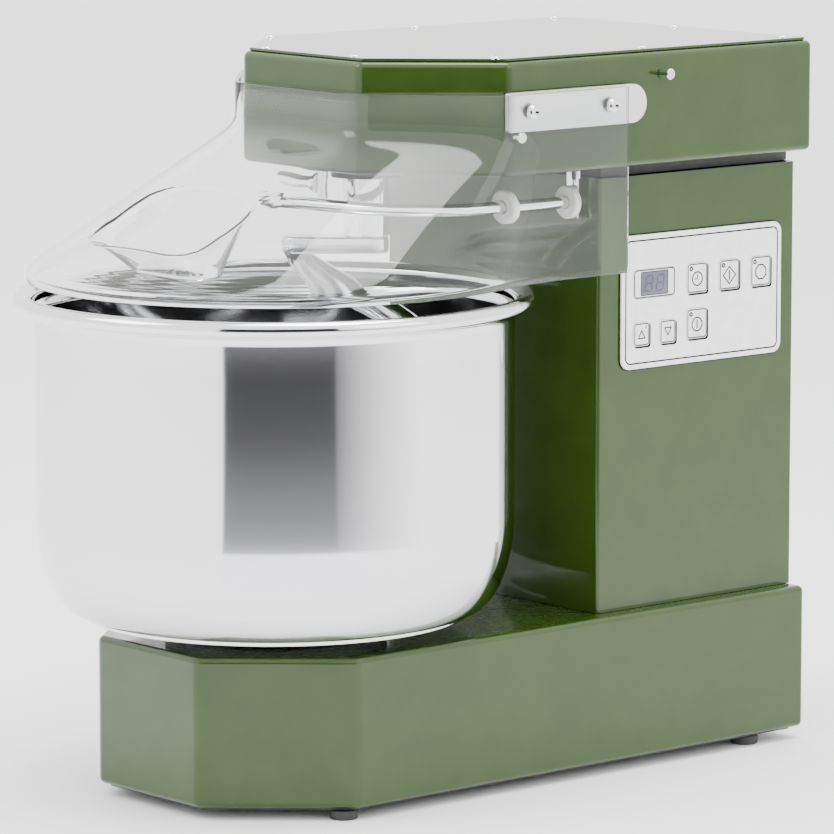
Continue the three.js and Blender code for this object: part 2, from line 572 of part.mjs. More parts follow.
function buildGuardFittings() {
  for (const [side, sign] of [['left', -1], ['right', 1]]) {
    const shape = new THREE.Shape();
    shape.moveTo(PLATE.front + 3, -PLATE.half);
    shape.lineTo(PIVOT.y, -PLATE.half);
    shape.absarc(PIVOT.y, 0, PLATE.half, -Math.PI / 2, Math.PI / 2, false);
    shape.lineTo(PLATE.front, PLATE.half);
    shape.lineTo(PLATE.front, -PLATE.half + 3);
    shape.absarc(PLATE.front + 3, -PLATE.half + 3, 3, Math.PI, 1.5 * Math.PI, false);
    const depth = PLATE.outer - PLATE.inner;
    const blank = new THREE.ExtrudeGeometry(shape, { depth, bevelEnabled: false, curveSegments: 14 });
    blank.applyMatrix4(new THREE.Matrix4().makeBasis(
      new THREE.Vector3(0, 1, 0), new THREE.Vector3(0, 0, 1), new THREE.Vector3(1, 0, 0),
    ));
    blank.translate(sign > 0 ? PLATE.inner : -PLATE.outer, 0, PIVOT.z);
    const holes = PLATE_SCREWS.map((y) => crossRod(y, PIVOT.z, 3.3, -160, 160, 16));
    put(`guard_plate_${side}`, cut(blank, ...holes), STEEL);
  }
  const reach = PLATE.inner - GAP;
  put('guard_hinge_shaft', crossRod(PIVOT.y, PIVOT.z, PIVOT.radius, -reach, reach), STEEL);
  for (const [side, sign] of [['left', -1], ['right', 1]]) {
    const bush = ring(0, 0, PIVOT.radius + GAP, 9, HEAD.half - 10, HEAD.half + 2.8, 24).rotateY(sign * Math.PI / 2);
    put(`hinge_bush_${side}`, bush.translate(0, PIVOT.y, PIVOT.z), WHITE);
  }
  const cam = ring(0, 0, PIVOT.radius + GAP, 13, 90, 98, 28).rotateY(Math.PI / 2).translate(0, PIVOT.y, PIVOT.z);
  const flat = box(80, 110, 310, 350, PIVOT.z + 10, PIVOT.z + 30);
  put('guard_switch_cam', cut(cam, flat), DARK_STEEL);
  put('guard_switch', join(
    box(84, 104, 350, 378, 480, 505),
    box(92, 96, 346, 351, 488, 495),
  ), BLACK);
  for (const [side, sign] of [['left', -1], ['right', 1]]) {
    const pin = (y, z, end) => {
      const places = [HEAD.half + GAP, end].map((x) => x * sign);
      return crossRod(y, z, 4, Math.min(...places), Math.max(...places), 20);
    };
    put(`closed_stop_${side}`, pin(225.7, 473.3, PLATE.outer - GAP), CHROME);
    put(`open_stop_${side}`, pin(368, 510.5, HEAD.half + 10), CHROME);
  }
}

buildBase();
buildBowl();
buildDrive();
buildMotor();
buildColumn();
buildControls();
buildHead();
buildSpiral();
buildDeflector();
buildGuardShell();
buildGuardFittings();

export default machine;
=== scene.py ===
# %% [markdown]
# # A compact spiral dough mixer
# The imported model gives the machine's frame: sizes, joints and plain bodies. This lesson gives it its
# looks: folded and painted sheet metal, a spun steel bowl, a formed clear guard, bright bars, a panel with
# keys, and the studio round it. Sizes are read from the frame wherever the frame has them.

from math import atan2, cos, pi, radians, sin

import bmesh
import bpy
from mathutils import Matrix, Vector


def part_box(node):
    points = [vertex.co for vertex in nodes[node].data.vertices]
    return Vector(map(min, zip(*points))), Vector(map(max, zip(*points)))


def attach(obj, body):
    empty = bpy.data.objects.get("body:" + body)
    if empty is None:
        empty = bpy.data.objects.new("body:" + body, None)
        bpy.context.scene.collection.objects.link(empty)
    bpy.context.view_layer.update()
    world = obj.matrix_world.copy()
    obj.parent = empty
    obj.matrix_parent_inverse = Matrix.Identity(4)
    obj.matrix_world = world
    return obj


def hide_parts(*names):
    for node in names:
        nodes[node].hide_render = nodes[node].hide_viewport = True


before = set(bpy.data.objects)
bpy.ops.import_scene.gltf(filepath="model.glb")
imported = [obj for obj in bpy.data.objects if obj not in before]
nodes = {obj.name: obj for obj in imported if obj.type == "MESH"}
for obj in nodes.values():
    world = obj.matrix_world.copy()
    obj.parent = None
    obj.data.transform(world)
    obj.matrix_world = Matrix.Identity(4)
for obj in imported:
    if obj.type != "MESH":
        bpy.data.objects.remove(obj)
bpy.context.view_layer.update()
MM = 0.001
print("CAD nodes:", len(nodes))

# %% [markdown]
# ## Camera first
# A long lens far away keeps upright edges upright. The camera stands about four metres off, a little above
# the machine, and turned 49 degrees towards its right side.

# %% Camera
CAMERA_PLACE = Vector((3.0140, -2.5914, 0.8510))
CAMERA_TURN = radians(49.04)
CAMERA_DROP = radians(8.48)

view_direction = -Vector((
    sin(CAMERA_TURN) * cos(CAMERA_DROP),
    -cos(CAMERA_TURN) * cos(CAMERA_DROP),
    sin(CAMERA_DROP),
))
camera_data = bpy.data.cameras.new("camera")
camera_data.sensor_width = 36
camera_data.lens = 237.85
camera_data.clip_end = 50
camera = bpy.data.objects.new("camera", camera_data)
camera.location = CAMERA_PLACE
camera.rotation_euler = view_direction.to_track_quat("-Z", "Y").to_euler()
bpy.context.scene.collection.objects.link(camera)
bpy.context.scene.camera = camera
print("camera at", tuple(round(v, 3) for v in CAMERA_PLACE))

# %% [markdown]
# ## Small helpers for working as by hand
# Operators act on what is selected, so each helper first selects exactly what it means. Faces, edges and
# corners are picked by a test on their place, which stays true when a size changes.

# %% Selecting and editing
def nothing():
    bpy.ops.object.select_all(action="DESELECT")


def only(piece):
    nothing()
    piece.select_set(True)
    bpy.context.view_layer.objects.active = piece


def edit(piece, mode="EDGE"):
    only(piece)
    bpy.ops.object.mode_set(mode="EDIT")
    bpy.ops.mesh.select_mode(type=mode)
    bpy.ops.mesh.select_all(action="DESELECT")


def leave():
    bpy.ops.object.mode_set(mode="OBJECT")


def move_picked(piece, new_place):
    """Moves each selected corner to new_place(its place)."""
    mesh = bmesh.from_edit_mesh(piece.data)
    for corner in (v for v in mesh.verts if v.select):
        corner.co = new_place(corner.co)
    bmesh.update_edit_mesh(piece.data)


def pick_edges(piece, test):
    mesh = bmesh.from_edit_mesh(piece.data)
    for edge in mesh.edges:
        edge.select_set(bool(test(edge.verts[0].co, edge.verts[1].co)))
    bmesh.update_edit_mesh(piece.data)


def pick_faces(piece, test):
    mesh = bmesh.from_edit_mesh(piece.data)
    for face in mesh.faces:
        face.select_set(bool(test(face.calc_center_median(), face.normal)))
    bmesh.update_edit_mesh(piece.data)


def modify(piece, kind, **settings):
    only(piece)
    modifier = piece.modifiers.new(kind.lower(), kind)
    for name, value in settings.items():
        setattr(modifier, name, value)
    bpy.ops.object.modifier_apply(modifier=modifier.name)


def soften(piece, width, segments=2, sharper_than=30):
    """Rounds the edges that turn by more than an angle in degrees."""
    modify(piece, "BEVEL", width=width, segments=segments, limit_method="ANGLE",
           angle_limit=radians(sharper_than))


def round_edges(piece, test, radius, segments):
    """Rounds the edges that pass a test on their two ends."""
    edit(piece)
    pick_edges(piece, test)
    bpy.ops.mesh.bevel(offset=radius, segments=segments, affect="EDGES")
    leave()


# %% [markdown]
# Every new piece ends the same way: its place goes into its mesh, it is named and shaded, it gets a material,
# it is hung under the empty of the body that carries it, and the plain nodes it stands for are hidden.

# %% Finishing a piece
def settle(piece):
    """Puts the piece's place into its mesh."""
    only(piece)
    bpy.ops.object.transform_apply(location=True, rotation=True, scale=True)


def finish(piece, name, body, material, replaced=(), smooth=35, flat_faces=False):
    """Names and shades a piece; flat_faces keeps large faces flat right up to their rounded edges."""
    settle(piece)
    piece.name = name
    piece.data.name = name
    if smooth:
        bpy.ops.object.shade_smooth_by_angle(angle=radians(smooth))
    if flat_faces:
        modify(piece, "WEIGHTED_NORMAL", keep_sharp=True)
    piece.data.materials.clear()
    piece.data.materials.append(material)
    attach(piece, body)
    if replaced:
        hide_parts(*replaced)
    print(name, len(piece.data.polygons), "faces")
    return piece


# %% [markdown]
# Most pieces start as a block or as a turned body. A turned body could be made with Spin, but a circle that
# is extruded ring by ring gives the same shape, with a clean cap at each end.

# %% Blocks and turned bodies
def add_block(low, high):
    low, high = Vector(low), Vector(high)
    nothing()
    bpy.ops.mesh.primitive_cube_add(size=1, location=(low + high) / 2, scale=high - low)
    piece = bpy.context.object
    settle(piece)
    return piece


def turned(profile, sides=64, closed=False):
    """Upright body of revolution round Z, drawn out ring by ring from [radius, height] pairs."""
    radius, height = profile[0]
    nothing()
    fill = "NOTHING" if closed else "NGON"
    bpy.ops.mesh.primitive_circle_add(vertices=sides, radius=radius, fill_type=fill, location=(0, 0, height))
    piece = bpy.context.object
    settle(piece)
    edit(piece)
    bpy.ops.mesh.select_all(action="SELECT")
    for next_radius, next_height in profile[1:]:
        bpy.ops.mesh.extrude_edges_move() if closed else bpy.ops.mesh.extrude_region()
        scale = next_radius / radius
        move_picked(piece, lambda spot: (spot.x * scale, spot.y * scale, next_height))
        radius = next_radius
    bpy.ops.mesh.select_all(action="SELECT")
    if closed:
        bpy.ops.mesh.remove_doubles(threshold=1e-6)
    bpy.ops.mesh.normals_make_consistent(inside=False)
    leave()
    return piece


def place(piece, location, rotation=(0, 0, 0)):
    piece.rotation_euler = rotation
    piece.location = location
    settle(piece)
    return piece


def join(pieces):
    nothing()
    for piece in pieces:
        piece.select_set(True)
    bpy.context.view_layer.objects.active = pieces[0]
    bpy.ops.object.join()
    return pieces[0]


def mix(a, b, share):
    return a + (b - a) * share


def centre_of(node):
    low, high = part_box(node)
    return (low + high) / 2


TO_RIGHT = (0, pi / 2, 0)              # turns an upright piece so that its top points along +X
TO_LEFT = (0, -pi / 2, 0)
TO_BACK = (-pi / 2, 0, 0)

# %% [markdown]
# ## Finishes
# Every finish is a small node tree on Object coordinates, so a pattern keeps its real size in metres. The
# helper makes the parts they share: a noise of a given size that shifts the colour a little, another that
# shifts the roughness, and a third that raises the surface.

# %% Material helpers
class Finish:
    def __init__(self, name, color, roughness, metallic=0.0, **sockets):
        self.material = bpy.data.materials.new(name)
        self.material.use_nodes = True
        self.tree = self.material.node_tree
        self.shader = self.tree.nodes["Principled BSDF"]
        self.coords = self.node("TexCoord")
        self.set("Base Color", (*color, 1))
        self.set("Roughness", roughness)
        self.set("Metallic", metallic)
        for socket, value in sockets.items():
            self.set(socket.replace("_", " "), value)

    def set(self, socket, value):
        self.shader.inputs[socket].default_value = value

    def link(self, source, target):
        self.tree.links.new(source, target)

    def node(self, kind, **settings):
        node = self.tree.nodes.new("ShaderNode" + kind)
        for name, value in settings.items():
            setattr(node, name, value)
        return node

    def noise(self, size, stretch=(1, 1, 1), detail=3.0):
        """Noise whose grains are about size metres, drawn out along the axes with a small stretch."""
        mapping, noise = self.node("Mapping"), self.node("TexNoise")
        mapping.inputs["Scale"].default_value = stretch
        noise.inputs["Scale"].default_value = 1 / size
        noise.inputs["Detail"].default_value = detail
        self.link(self.coords.outputs["Object"], mapping.inputs["Vector"])
        self.link(mapping.outputs["Vector"], noise.inputs["Vector"])
        return noise.outputs["Fac"]

    def ramp(self, source, low, high, start=0.3, end=0.7):
        """A value from low to high, as the source goes from start to end."""
        remap = self.node("MapRange")
        limits = {"From Min": start, "From Max": end, "To Min": low, "To Max": high}
        for socket, value in limits.items():
            remap.inputs[socket].default_value = value
        self.link(source, remap.inputs["Value"])
        return remap.outputs["Result"]

    def blend(self, share, first, second):
        """A colour between two others, each a plain colour or a node's output."""
        blend = self.node("Mix", data_type="RGBA")
        for socket, color in (("A", first), ("B", second)):
            if isinstance(color, tuple):
                blend.inputs[socket].default_value = (*color, 1)
            else:
                self.link(color, blend.inputs[socket])
        self.link(share, blend.inputs["Factor"])
        return blend.outputs["Result"]

    def vary_color(self, source, first, second):
        self.link(self.blend(self.ramp(source, 0, 1), first, second), self.shader.inputs["Base Color"])
        return self

    def vary_roughness(self, source, low, high):
        self.link(self.ramp(source, low, high), self.shader.inputs["Roughness"])
        return self

    def bump(self, source, height, strength=1.0):
        bump = self.node("Bump")
        bump.inputs["Distance"].default_value = height
        bump.inputs["Strength"].default_value = strength
        self.link(source, bump.inputs["Height"])
        self.link(bump.outputs["Normal"], self.shader.inputs["Normal"])
        return self


def brushed(name, color, along, low, high, height=0.00002):
    """Brushed metal: fine lines, long in one direction, in roughness and height."""
    metal = Finish(name, color, low, 1.0)
    lines = metal.noise(0.0006, along, 4)
    metal.vary_roughness(lines, low, high).bump(lines, height, 0.6)
    darker = tuple(c * 0.93 for c in color)
    metal.vary_color(metal.noise(0.02, along), darker, color)
    return metal.material


# %% [markdown]
# ### Green paint
# The cabinet is sprayed with a deep gloss green. The coat carries the sharp reflections, and the paint under
# it keeps a faint orange-peel surface: soft waves a few millimetres long and only microns high.

# %% Green paint
DEEP_GREEN = (0.019, 0.043, 0.004)
LEAF_GREEN = (0.024, 0.051, 0.005)
paint = Finish("green_paint", DEEP_GREEN, 0.32, Coat_Weight=1.0, Coat_Roughness=0.05, Coat_IOR=1.40)
paint.set("Specular IOR Level", 0.1)
paint.vary_color(paint.noise(0.03), DEEP_GREEN, LEAF_GREEN)
paint.vary_roughness(paint.noise(0.008), 0.28, 0.38)
paint.bump(paint.noise(0.005, detail=1.0), 0.00002, 0.25)
green_paint = paint.material

# %% [markdown]
# ### Metals
# The bowl is bright steel with very fine lines round it. The hinge plates and the spiral are brushed flat
# steel, the bars and pins are polished, and the drive parts inside are plain machined steel and cast iron.

# %% Metals
AROUND = (1, 1, 60)                    # lines that run round an upright body
LENGTHWAYS = (60, 1, 60)               # lines along Y
bowl_steel = brushed("bowl_steel", (0.80, 0.80, 0.82), AROUND, 0.05, 0.10, 0.000003)
plate_steel = brushed("plate_steel", (0.74, 0.74, 0.76), LENGTHWAYS, 0.28, 0.42)
hook_steel = brushed("hook_steel", (0.66, 0.66, 0.68), AROUND, 0.10, 0.18, 0.000004)
drive_steel = brushed("drive_steel", (0.42, 0.42, 0.44), AROUND, 0.30, 0.50)

chrome_finish = Finish("bright_steel", (0.80, 0.80, 0.82), 0.06, 1.0)
chrome_finish.vary_roughness(chrome_finish.noise(0.01), 0.05, 0.11)
chrome_finish.bump(chrome_finish.noise(0.002), 0.000004, 0.3)
bright_steel = chrome_finish.material

cast_finish = Finish("cast_iron", (0.10, 0.10, 0.11), 0.6, 0.7)
cast_finish.vary_color(cast_finish.noise(0.004), (0.07, 0.07, 0.08), (0.14, 0.14, 0.15))
cast_finish.bump(cast_finish.noise(0.0012), 0.00012, 0.6)
cast_iron = cast_finish.material

# %% [markdown]
# ### Plastics, rubber and board
# Moulded plastics get a fine spark-eroded grain, the rubber feet a dusty bloom, and the board a green
# lacquer.

# %% Plastics and rubber
def moulded(name, color, roughness, grain=0.0005, height=0.00002):
    plastic = Finish(name, color, roughness)
    lighter = tuple(min(1, c * 1.12 + 0.004) for c in color)
    plastic.vary_color(plastic.noise(0.01), color, lighter)
    plastic.vary_roughness(plastic.noise(0.003), roughness * 0.85, roughness * 1.15)
    plastic.bump(plastic.noise(grain), height, 0.5)
    return plastic.material


black_plastic = moulded("black_plastic", (0.018, 0.018, 0.020), 0.5)
white_plastic = moulded("white_plastic", (0.78, 0.78, 0.76), 0.38)
foot_rubber = moulded("foot_rubber", (0.022, 0.022, 0.024), 0.72, 0.0008, 0.00006)
belt_rubber = moulded("belt_rubber", (0.015, 0.015, 0.016), 0.8, 0.0010, 0.00008)
panel_film = moulded("panel_film", (0.78, 0.785, 0.78), 0.34, 0.0006, 0.000012)
key_film = moulded("key_film", (0.74, 0.745, 0.74), 0.36, 0.0006, 0.000012)
# Dark ink is the print on panel and keys, and also the colour of painted shade: the key shadows and the shade
# round the panel.
ink_and_painted_shade = moulded("ink_and_painted_shade", (0.006, 0.006, 0.009), 0.7, 0.0006, 0.000008)
ink_and_painted_shade.node_tree.nodes["Principled BSDF"].inputs["Specular IOR Level"].default_value = 0.1
board_lacquer = moulded("board_lacquer", (0.02, 0.13, 0.05), 0.35)
display_glass = moulded("display_glass", (0.095, 0.090, 0.125), 0.16, 0.0009, 0.000004)
display_digit = moulded("display_digit", (0.045, 0.042, 0.062), 0.3)

# %% [markdown]
# ### Clear guard
# The guard is formed from clear sheet about 3 mm thick. Clear plastic bends light a little less than glass,
# has hardly any colour of its own, and keeps the polish it had before it was formed.

# %% Clear sheet
clear = Finish("clear_sheet", (0.99, 0.995, 0.99), 0.01, Transmission_Weight=1.0, IOR=1.34)
clear.vary_roughness(clear.noise(0.06), 0.0, 0.012)
clear.vary_color(clear.noise(0.08), (0.985, 0.992, 0.986), (0.995, 1.0, 0.995))
clear_sheet = clear.material

# %% [markdown]
# ## Cabinet: base, column and head
# Each cabinet is folded from 2 mm sheet. A block of the outer size loses its two front corners by two cuts
# with bisect, and its folds get one radius: on base and head all edges, on the column only the upright ones.
# Then the closed side is opened, leaving a folded-in flange, and Solidify gives the sheet its thickness.

# %% Folded cabinet
SHEET = 2 * MM
FOLD = 4.5 * MM                        # radius of the cabinet's edges
COLUMN_FOLD = 2.5 * MM
FLANGE = 12 * MM


def cut_corners(node):
    """Half the front's width, and where the sides begin, measured on a CAD cabinet."""
    low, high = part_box(node)
    points = [v.co for v in nodes[node].data.vertices]
    front_half = max(abs(p.x) for p in points if p.y < low.y + MM / 10)
    side_start = min(p.y for p in points if p.x > high.x - MM / 10)
    return front_half, side_start


def trim_front(piece, low, high, front_half, side_start):
    edit(piece)
    for side in (1, -1):
        bpy.ops.mesh.select_all(action="SELECT")
        outward = Vector((side * (side_start - low.y), -(high.x - front_half), 0)).normalized()
        bpy.ops.mesh.bisect(
            plane_co=(side * front_half, low.y, 0), plane_no=outward, use_fill=True, clear_outer=True,
        )
    leave()


def flat_top(height):
    return lambda centre, normal: abs(normal.z) > 0.9 and abs(centre.z - height) < MM / 10


def fold_cabinet(node, corners, open_top, open_bottom, fold, all_edges=True):
    low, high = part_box(node)
    piece = add_block(low, high)
    if corners:
        trim_front(piece, low, high, *corners)
    edit(piece)
    pick_edges(piece, lambda a, b: all_edges or abs(a.z - b.z) > 10 * MM)
    bpy.ops.mesh.bevel(offset=fold, segments=6, affect="EDGES")
    for height, flange in [(high.z, open_top), (low.z, open_bottom)]:
        if flange is None:
            continue
        bpy.ops.mesh.select_all(action="DESELECT")
        bpy.ops.mesh.select_mode(type="FACE")
        pick_faces(piece, flat_top(height))
        if flange:
            bpy.ops.mesh.inset(thickness=flange, depth=0)
        bpy.ops.mesh.delete(type="FACE")
    leave()
    modify(piece, "SOLIDIFY", thickness=SHEET, offset=-1, use_even_offset=True)
    return piece


# %% Base, column and head
base_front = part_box("base_housing")[0].y
base = fold_cabinet("base_housing", cut_corners("base_housing"), None, FLANGE, FOLD)
finish(base, "base_cabinet", "cabinet", green_paint, ["base_housing"], flat_faces=True)

head_low, head_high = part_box("head_housing")
head = fold_cabinet("head_housing", cut_corners("head_housing"), FLANGE, None, FOLD)
finish(head, "head_cabinet", "cabinet", green_paint, ["head_housing"], flat_faces=True)

column = fold_cabinet("column_housing", None, 0, 0, COLUMN_FOLD, all_edges=False)

# %% [markdown]
# The column has an opening behind the control panel for the key switches, and its back is a flat cover
# between the side walls. A cutter block with a Boolean modifier opens the window, another opens the back.

# %% Column openings and covers
def carve_with(piece, cutter):
    modify(piece, "BOOLEAN", operation="DIFFERENCE", object=cutter, solver="EXACT")
    bpy.data.objects.remove(cutter)


def carve(piece, low, high):
    carve_with(piece, add_block(low, high))


panel_low, panel_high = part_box("control_panel")
window_margin = Vector((-20, 8, 10)) * MM
carve(column, panel_low + window_margin, panel_high - window_margin)
cover_low, cover_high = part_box("column_rear_cover")
gap = 0.3 * MM
carve(column, cover_low - Vector((gap, gap, 20 * MM)), cover_high + Vector((gap, 20 * MM, 20 * MM)))
finish(column, "column_cabinet", "cabinet", green_paint, ["column_housing"], flat_faces=True)

rear_cover = add_block(cover_low, cover_high)
inlet_centre = centre_of("power_inlet")
soften(rear_cover, 0.6 * MM, 3)
hole = turned([(9 * MM, 0), (9 * MM, 30 * MM)], 48)
carve_with(rear_cover, place(hole, inlet_centre - Vector((0, 15, 0)) * MM, TO_BACK))
finish(
    rear_cover, "rear_cover", "cabinet", green_paint, ["column_rear_cover"], flat_faces=True,
)

# %% [markdown]
# A thin flat plate closes the head. It follows the head's outline a few millimetres in, so it is cut from a
# block by the same two bisect cuts, and its corners and edges are rounded a little.

# %% Top cover of the head
top_low, top_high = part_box("head_top_cover")
SCREW_HEAD = 1.9 * MM
plate_top = top_high.z - SCREW_HEAD
top_cover = add_block(top_low, (top_high.x, top_high.y, plate_top))
trim_front(top_cover, top_low, top_high, *cut_corners("head_top_cover"))
round_edges(top_cover, lambda a, b: abs(a.z - b.z) > MM, 2 * MM, 4)
soften(top_cover, 0.5 * MM, 3)
finish(top_cover, "top_cover", "cabinet", green_paint, ["head_top_cover"], flat_faces=True)

# %% [markdown]
# ## Cover screws
# Nine round-head screws hold the top cover and six hold the rear cover. Each is a low dome with a round
# socket: a turned profile, with its middle sunk by an inset and an inward extrude.

# %% Screws
def dome_screw(radius, height, socket=0.45):
    steps = [i * pi / 12 for i in range(7)]
    profile = [(radius, -0.3 * height), (radius, 0)]
    profile += [(radius * (0.45 + 0.55 * cos(a)), height * sin(a)) for a in steps[1:]]
    piece = turned(profile, 24)
    edit(piece, "FACE")
    pick_faces(piece, lambda centre, normal: normal.z > 0.99 and centre.z > height * 0.95)
    bpy.ops.mesh.inset(thickness=radius * (0.45 - socket) + 0.02 * MM, depth=0)
    bpy.ops.mesh.inset(thickness=0.15 * MM, depth=0)
    move_picked(piece, lambda spot: (spot.x, spot.y, spot.z - height * 0.6))
    leave()
    return piece


inset_x = 11.8 * MM
rows = [head_low.y + (head_high.y - head_low.y) * share for share in (0.198, 0.573, 0.948)]
top_places = [(0.0, head_high.y - 11.6 * MM)]
top_places += [(side * 49 * MM, head_low.y + 9.1 * MM) for side in (-1, 1)]
top_places += [(side * (head_high.x - inset_x), y) for y in rows for side in (-1, 1)]
top_screws = [place(dome_screw(4.4 * MM, SCREW_HEAD * 0.95), (x, y, plate_top)) for x, y in top_places]
finish(join(top_screws), "top_cover_screws", "cabinet", bright_steel)

rear_rows = [cover_low.z + (cover_high.z - cover_low.z) * share for share in (0.06, 0.5, 0.94)]
rear_x, rear_y = cover_high.x - 9 * MM, cover_high.y + 0.1 * MM
rear_screws = [
    place(dome_screw(4.2 * MM, MM), (side * rear_x, rear_y, z), TO_BACK) for z in rear_rows for side in (-1, 1)
]
finish(join(rear_screws), "rear_cover_screws", "cabinet", bright_steel)

# %% [markdown]
# ## Bowl
# The bowl is spun from one sheet: a flat bottom, a corner that opens into nearly straight walls, and a rim
# rolled outwards into a round bead. The profile is a short formula, and `turned` draws it out ring by ring.

# %% Bowl
bowl_low, bowl_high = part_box("bowl")
bowl_axis = centre_of("bowl")
BEAD = 5.7 * MM
bead_centre = (bowl_high.x - BEAD, bowl_high.z - BEAD)
WALL = 1.5 * MM
wall_radius = bead_centre[0] - 9.4 * MM
CORNER_RUN = 32 * MM
CORNER_RISE = 69 * MM
FOOT_RING = 3 * MM                     # height of the narrow ring that the bowl stands on
NECK = 9 * MM                          # radius of the turn from the wall out to the rim
bottom = bowl_low.z


def bowl_corner(inset):
    """The corner's curve, moved inwards by inset at right angles to the sheet."""
    points = []
    for i in range(17):
        angle = pi / 2 * i / 16
        radius = wall_radius - CORNER_RUN * (1 - sin(angle))
        height = bottom + FOOT_RING + CORNER_RISE * (1 - cos(angle))
        outward = Vector((CORNER_RISE * sin(angle), -CORNER_RUN * cos(angle))).normalized() * inset
        points.append((radius - outward.x, height - outward.y))
    return points


def bowl_profile():
    flat = wall_radius - CORNER_RUN
    neck_z = bowl_high.z - 19 * MM
    wall_z = [mix(bottom + FOOT_RING + CORNER_RISE, neck_z, i / 6) for i in range(1, 7)]
    neck = [(NECK * (1 - cos(a)), neck_z + NECK * sin(a)) for a in (i * pi / 20 for i in range(1, 7))]
    upper = [(wall_radius, z) for z in wall_z] + [(wall_radius + r, z) for r, z in neck]
    outer = [
        (10 * MM, bottom), (flat * 0.6, bottom), (flat - 1.4 * MM, bottom),
        (flat - 0.4 * MM, bottom + 0.4 * MM), (flat, bottom + 1.2 * MM),
        (flat - 0.2 * MM, bottom + FOOT_RING - 0.8 * MM),
    ]
    bead = []
    for i in range(25):
        angle = pi * mix(-0.83, 0.78, i / 24)
        bead.append((bead_centre[0] + BEAD * cos(angle), bead_centre[1] + BEAD * sin(angle)))
    lip = [(bead_centre[0] - BEAD - 1.6 * MM, bead_centre[1] + 1.5 * MM),
           (bead_centre[0] - BEAD - 2.4 * MM, bead_centre[1] - 0.5 * MM)]
    inner = [(r - WALL, z) for r, z in reversed(upper)] + bowl_corner(WALL)[::-1]
    floor_z = bottom + FOOT_RING + WALL
    return outer + bowl_corner(0) + upper + bead + lip + inner + [(flat * 0.6, floor_z), (8.5 * MM, floor_z)]


bowl = place(turned(bowl_profile(), 160), (bowl_axis.x, bowl_axis.y, 0))
finish(bowl, "mixing_bowl", "bowl_group", bowl_steel, ["bowl"], 50)

# %% [markdown]
# The bowl stands on a cast disc that its shaft turns. Four screws go through the bowl's floor into the disc.

# %% Turntable and bowl screws
TABLE_BORE = 15.4 * MM
table_low, table_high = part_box("bowl_turntable")
table_radius = table_high.x
table_profile = [
    (TABLE_BORE, table_low.z), (table_radius - MM, table_low.z), (table_radius, table_low.z + MM),
    (table_radius, table_high.z - MM), (table_radius - MM, table_high.z), (TABLE_BORE, table_high.z),
    (TABLE_BORE, table_low.z),
]
turntable = place(turned(table_profile, 96, closed=True), (bowl_axis.x, bowl_axis.y, 0))
finish(turntable, "turntable", "bowl_group", cast_iron, ["bowl_turntable"])

BOLT_RING = 60 * MM
bolts = []
for i in range(4):
    angle = pi / 4 + pi / 2 * i
    x, y = bowl_axis.x + BOLT_RING * cos(angle), bowl_axis.y + BOLT_RING * sin(angle)
    bolts.append(place(dome_screw(6 * MM, 3 * MM), (x, y, bottom + FOOT_RING + WALL + 0.2 * MM)))
finish(join(bolts), "bowl_screws", "bowl_group", bright_steel)

# %% [markdown]
# ## Clear guard
# The guard is one formed sheet: a straight collar round the head, a slope that spreads to a round skirt over
# the bowl, and flat panels at the sides. A grid is drawn out to that shape: across it, a point runs from one
# rear edge round the front to the other, and up it, from the skirt to the collar.

# %% Guard measures
guard_low, guard_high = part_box("guard_shell")
SHEET_CLEAR = 3 * MM
PANEL_X = 148 * MM
BEND_Y = guard_high.y - 86.5 * MM
COLLAR_SIDE = guard_high.y - 116.5 * MM
COLLAR_FRONT = guard_high.y - 190 * MM
COLLAR_CORNER = 66 * MM
FOLD_Z = guard_high.z - 31.2 * MM
SKIRT_Z = guard_low.z + 9 * MM
skirt_radius = guard_high.x
ACROSS = (6, 6, 20, 28)                # steps: panel, flare, cut corner, front
SIDE_ANGLE, CORNER_ANGLE = radians(18), radians(-62)


def on_skirt(angle):
    return Vector((skirt_radius * cos(angle), bowl_axis.y + skirt_radius * sin(angle)))


def half_outline(collar):
    """Right half of the guard's plan, from its rear edge to the front corner, and the front itself."""
    rear, bend = Vector((PANEL_X, guard_high.y)), Vector((PANEL_X, BEND_Y))
    side = Vector((PANEL_X, COLLAR_SIDE)) if collar else on_skirt(SIDE_ANGLE)
    corner = Vector((COLLAR_CORNER, COLLAR_FRONT))
    panel, flare, cut, front = ACROSS
    points = [rear.lerp(bend, i / panel) for i in range(panel)]
    points += [bend.lerp(side, i / flare) for i in range(flare)]
    for i in range(cut):
        share = i / cut
        points.append(side.lerp(corner, share) if collar else on_skirt(mix(SIDE_ANGLE, CORNER_ANGLE, share)))
    for i in range(front + 1):
        share = i / front
        turn = mix(CORNER_ANGLE, -pi - CORNER_ANGLE, share)
        points.append(corner.lerp(Vector((-corner.x, corner.y)), share) if collar else on_skirt(turn))
    return points


def outline(collar):
    """The whole plan of one edge, with its corners eased by a few rounds of averaging."""
    right = half_outline(collar)
    points = right + [Vector((-p.x, p.y)) for p in reversed(right[:sum(ACROSS[:3])])]
    for _ in range(5):
        eased = [(a + b * 2 + c) / 4 for a, b, c in zip(points, points[1:], points[2:])]
        points = [points[0], *eased, points[-1]]
    return points


collar_line, skirt_line = outline(True), outline(False)
columns = len(collar_line) - 1
print("guard outline:", columns, "steps")

# %% [markdown]
# Heated sheet doesn't fold sharply, so the two folds, over the skirt and under the collar, are soft curves.
# Extra rows of the grid are spent on them, and the slope between needs only even steps.

# %% Guard levels
EASE = 0.09                            # share of the slope taken by each rounded fold
SLOPE_STEPS = 22
FOLD_STEPS = [i / 6 for i in range(1, 6)]


def eased(start, corner, end, t):
    """Height on the soft curve that rounds the corner between two straight runs."""
    return (1 - t) ** 2 * start + 2 * t * (1 - t) * corner + t * t * end


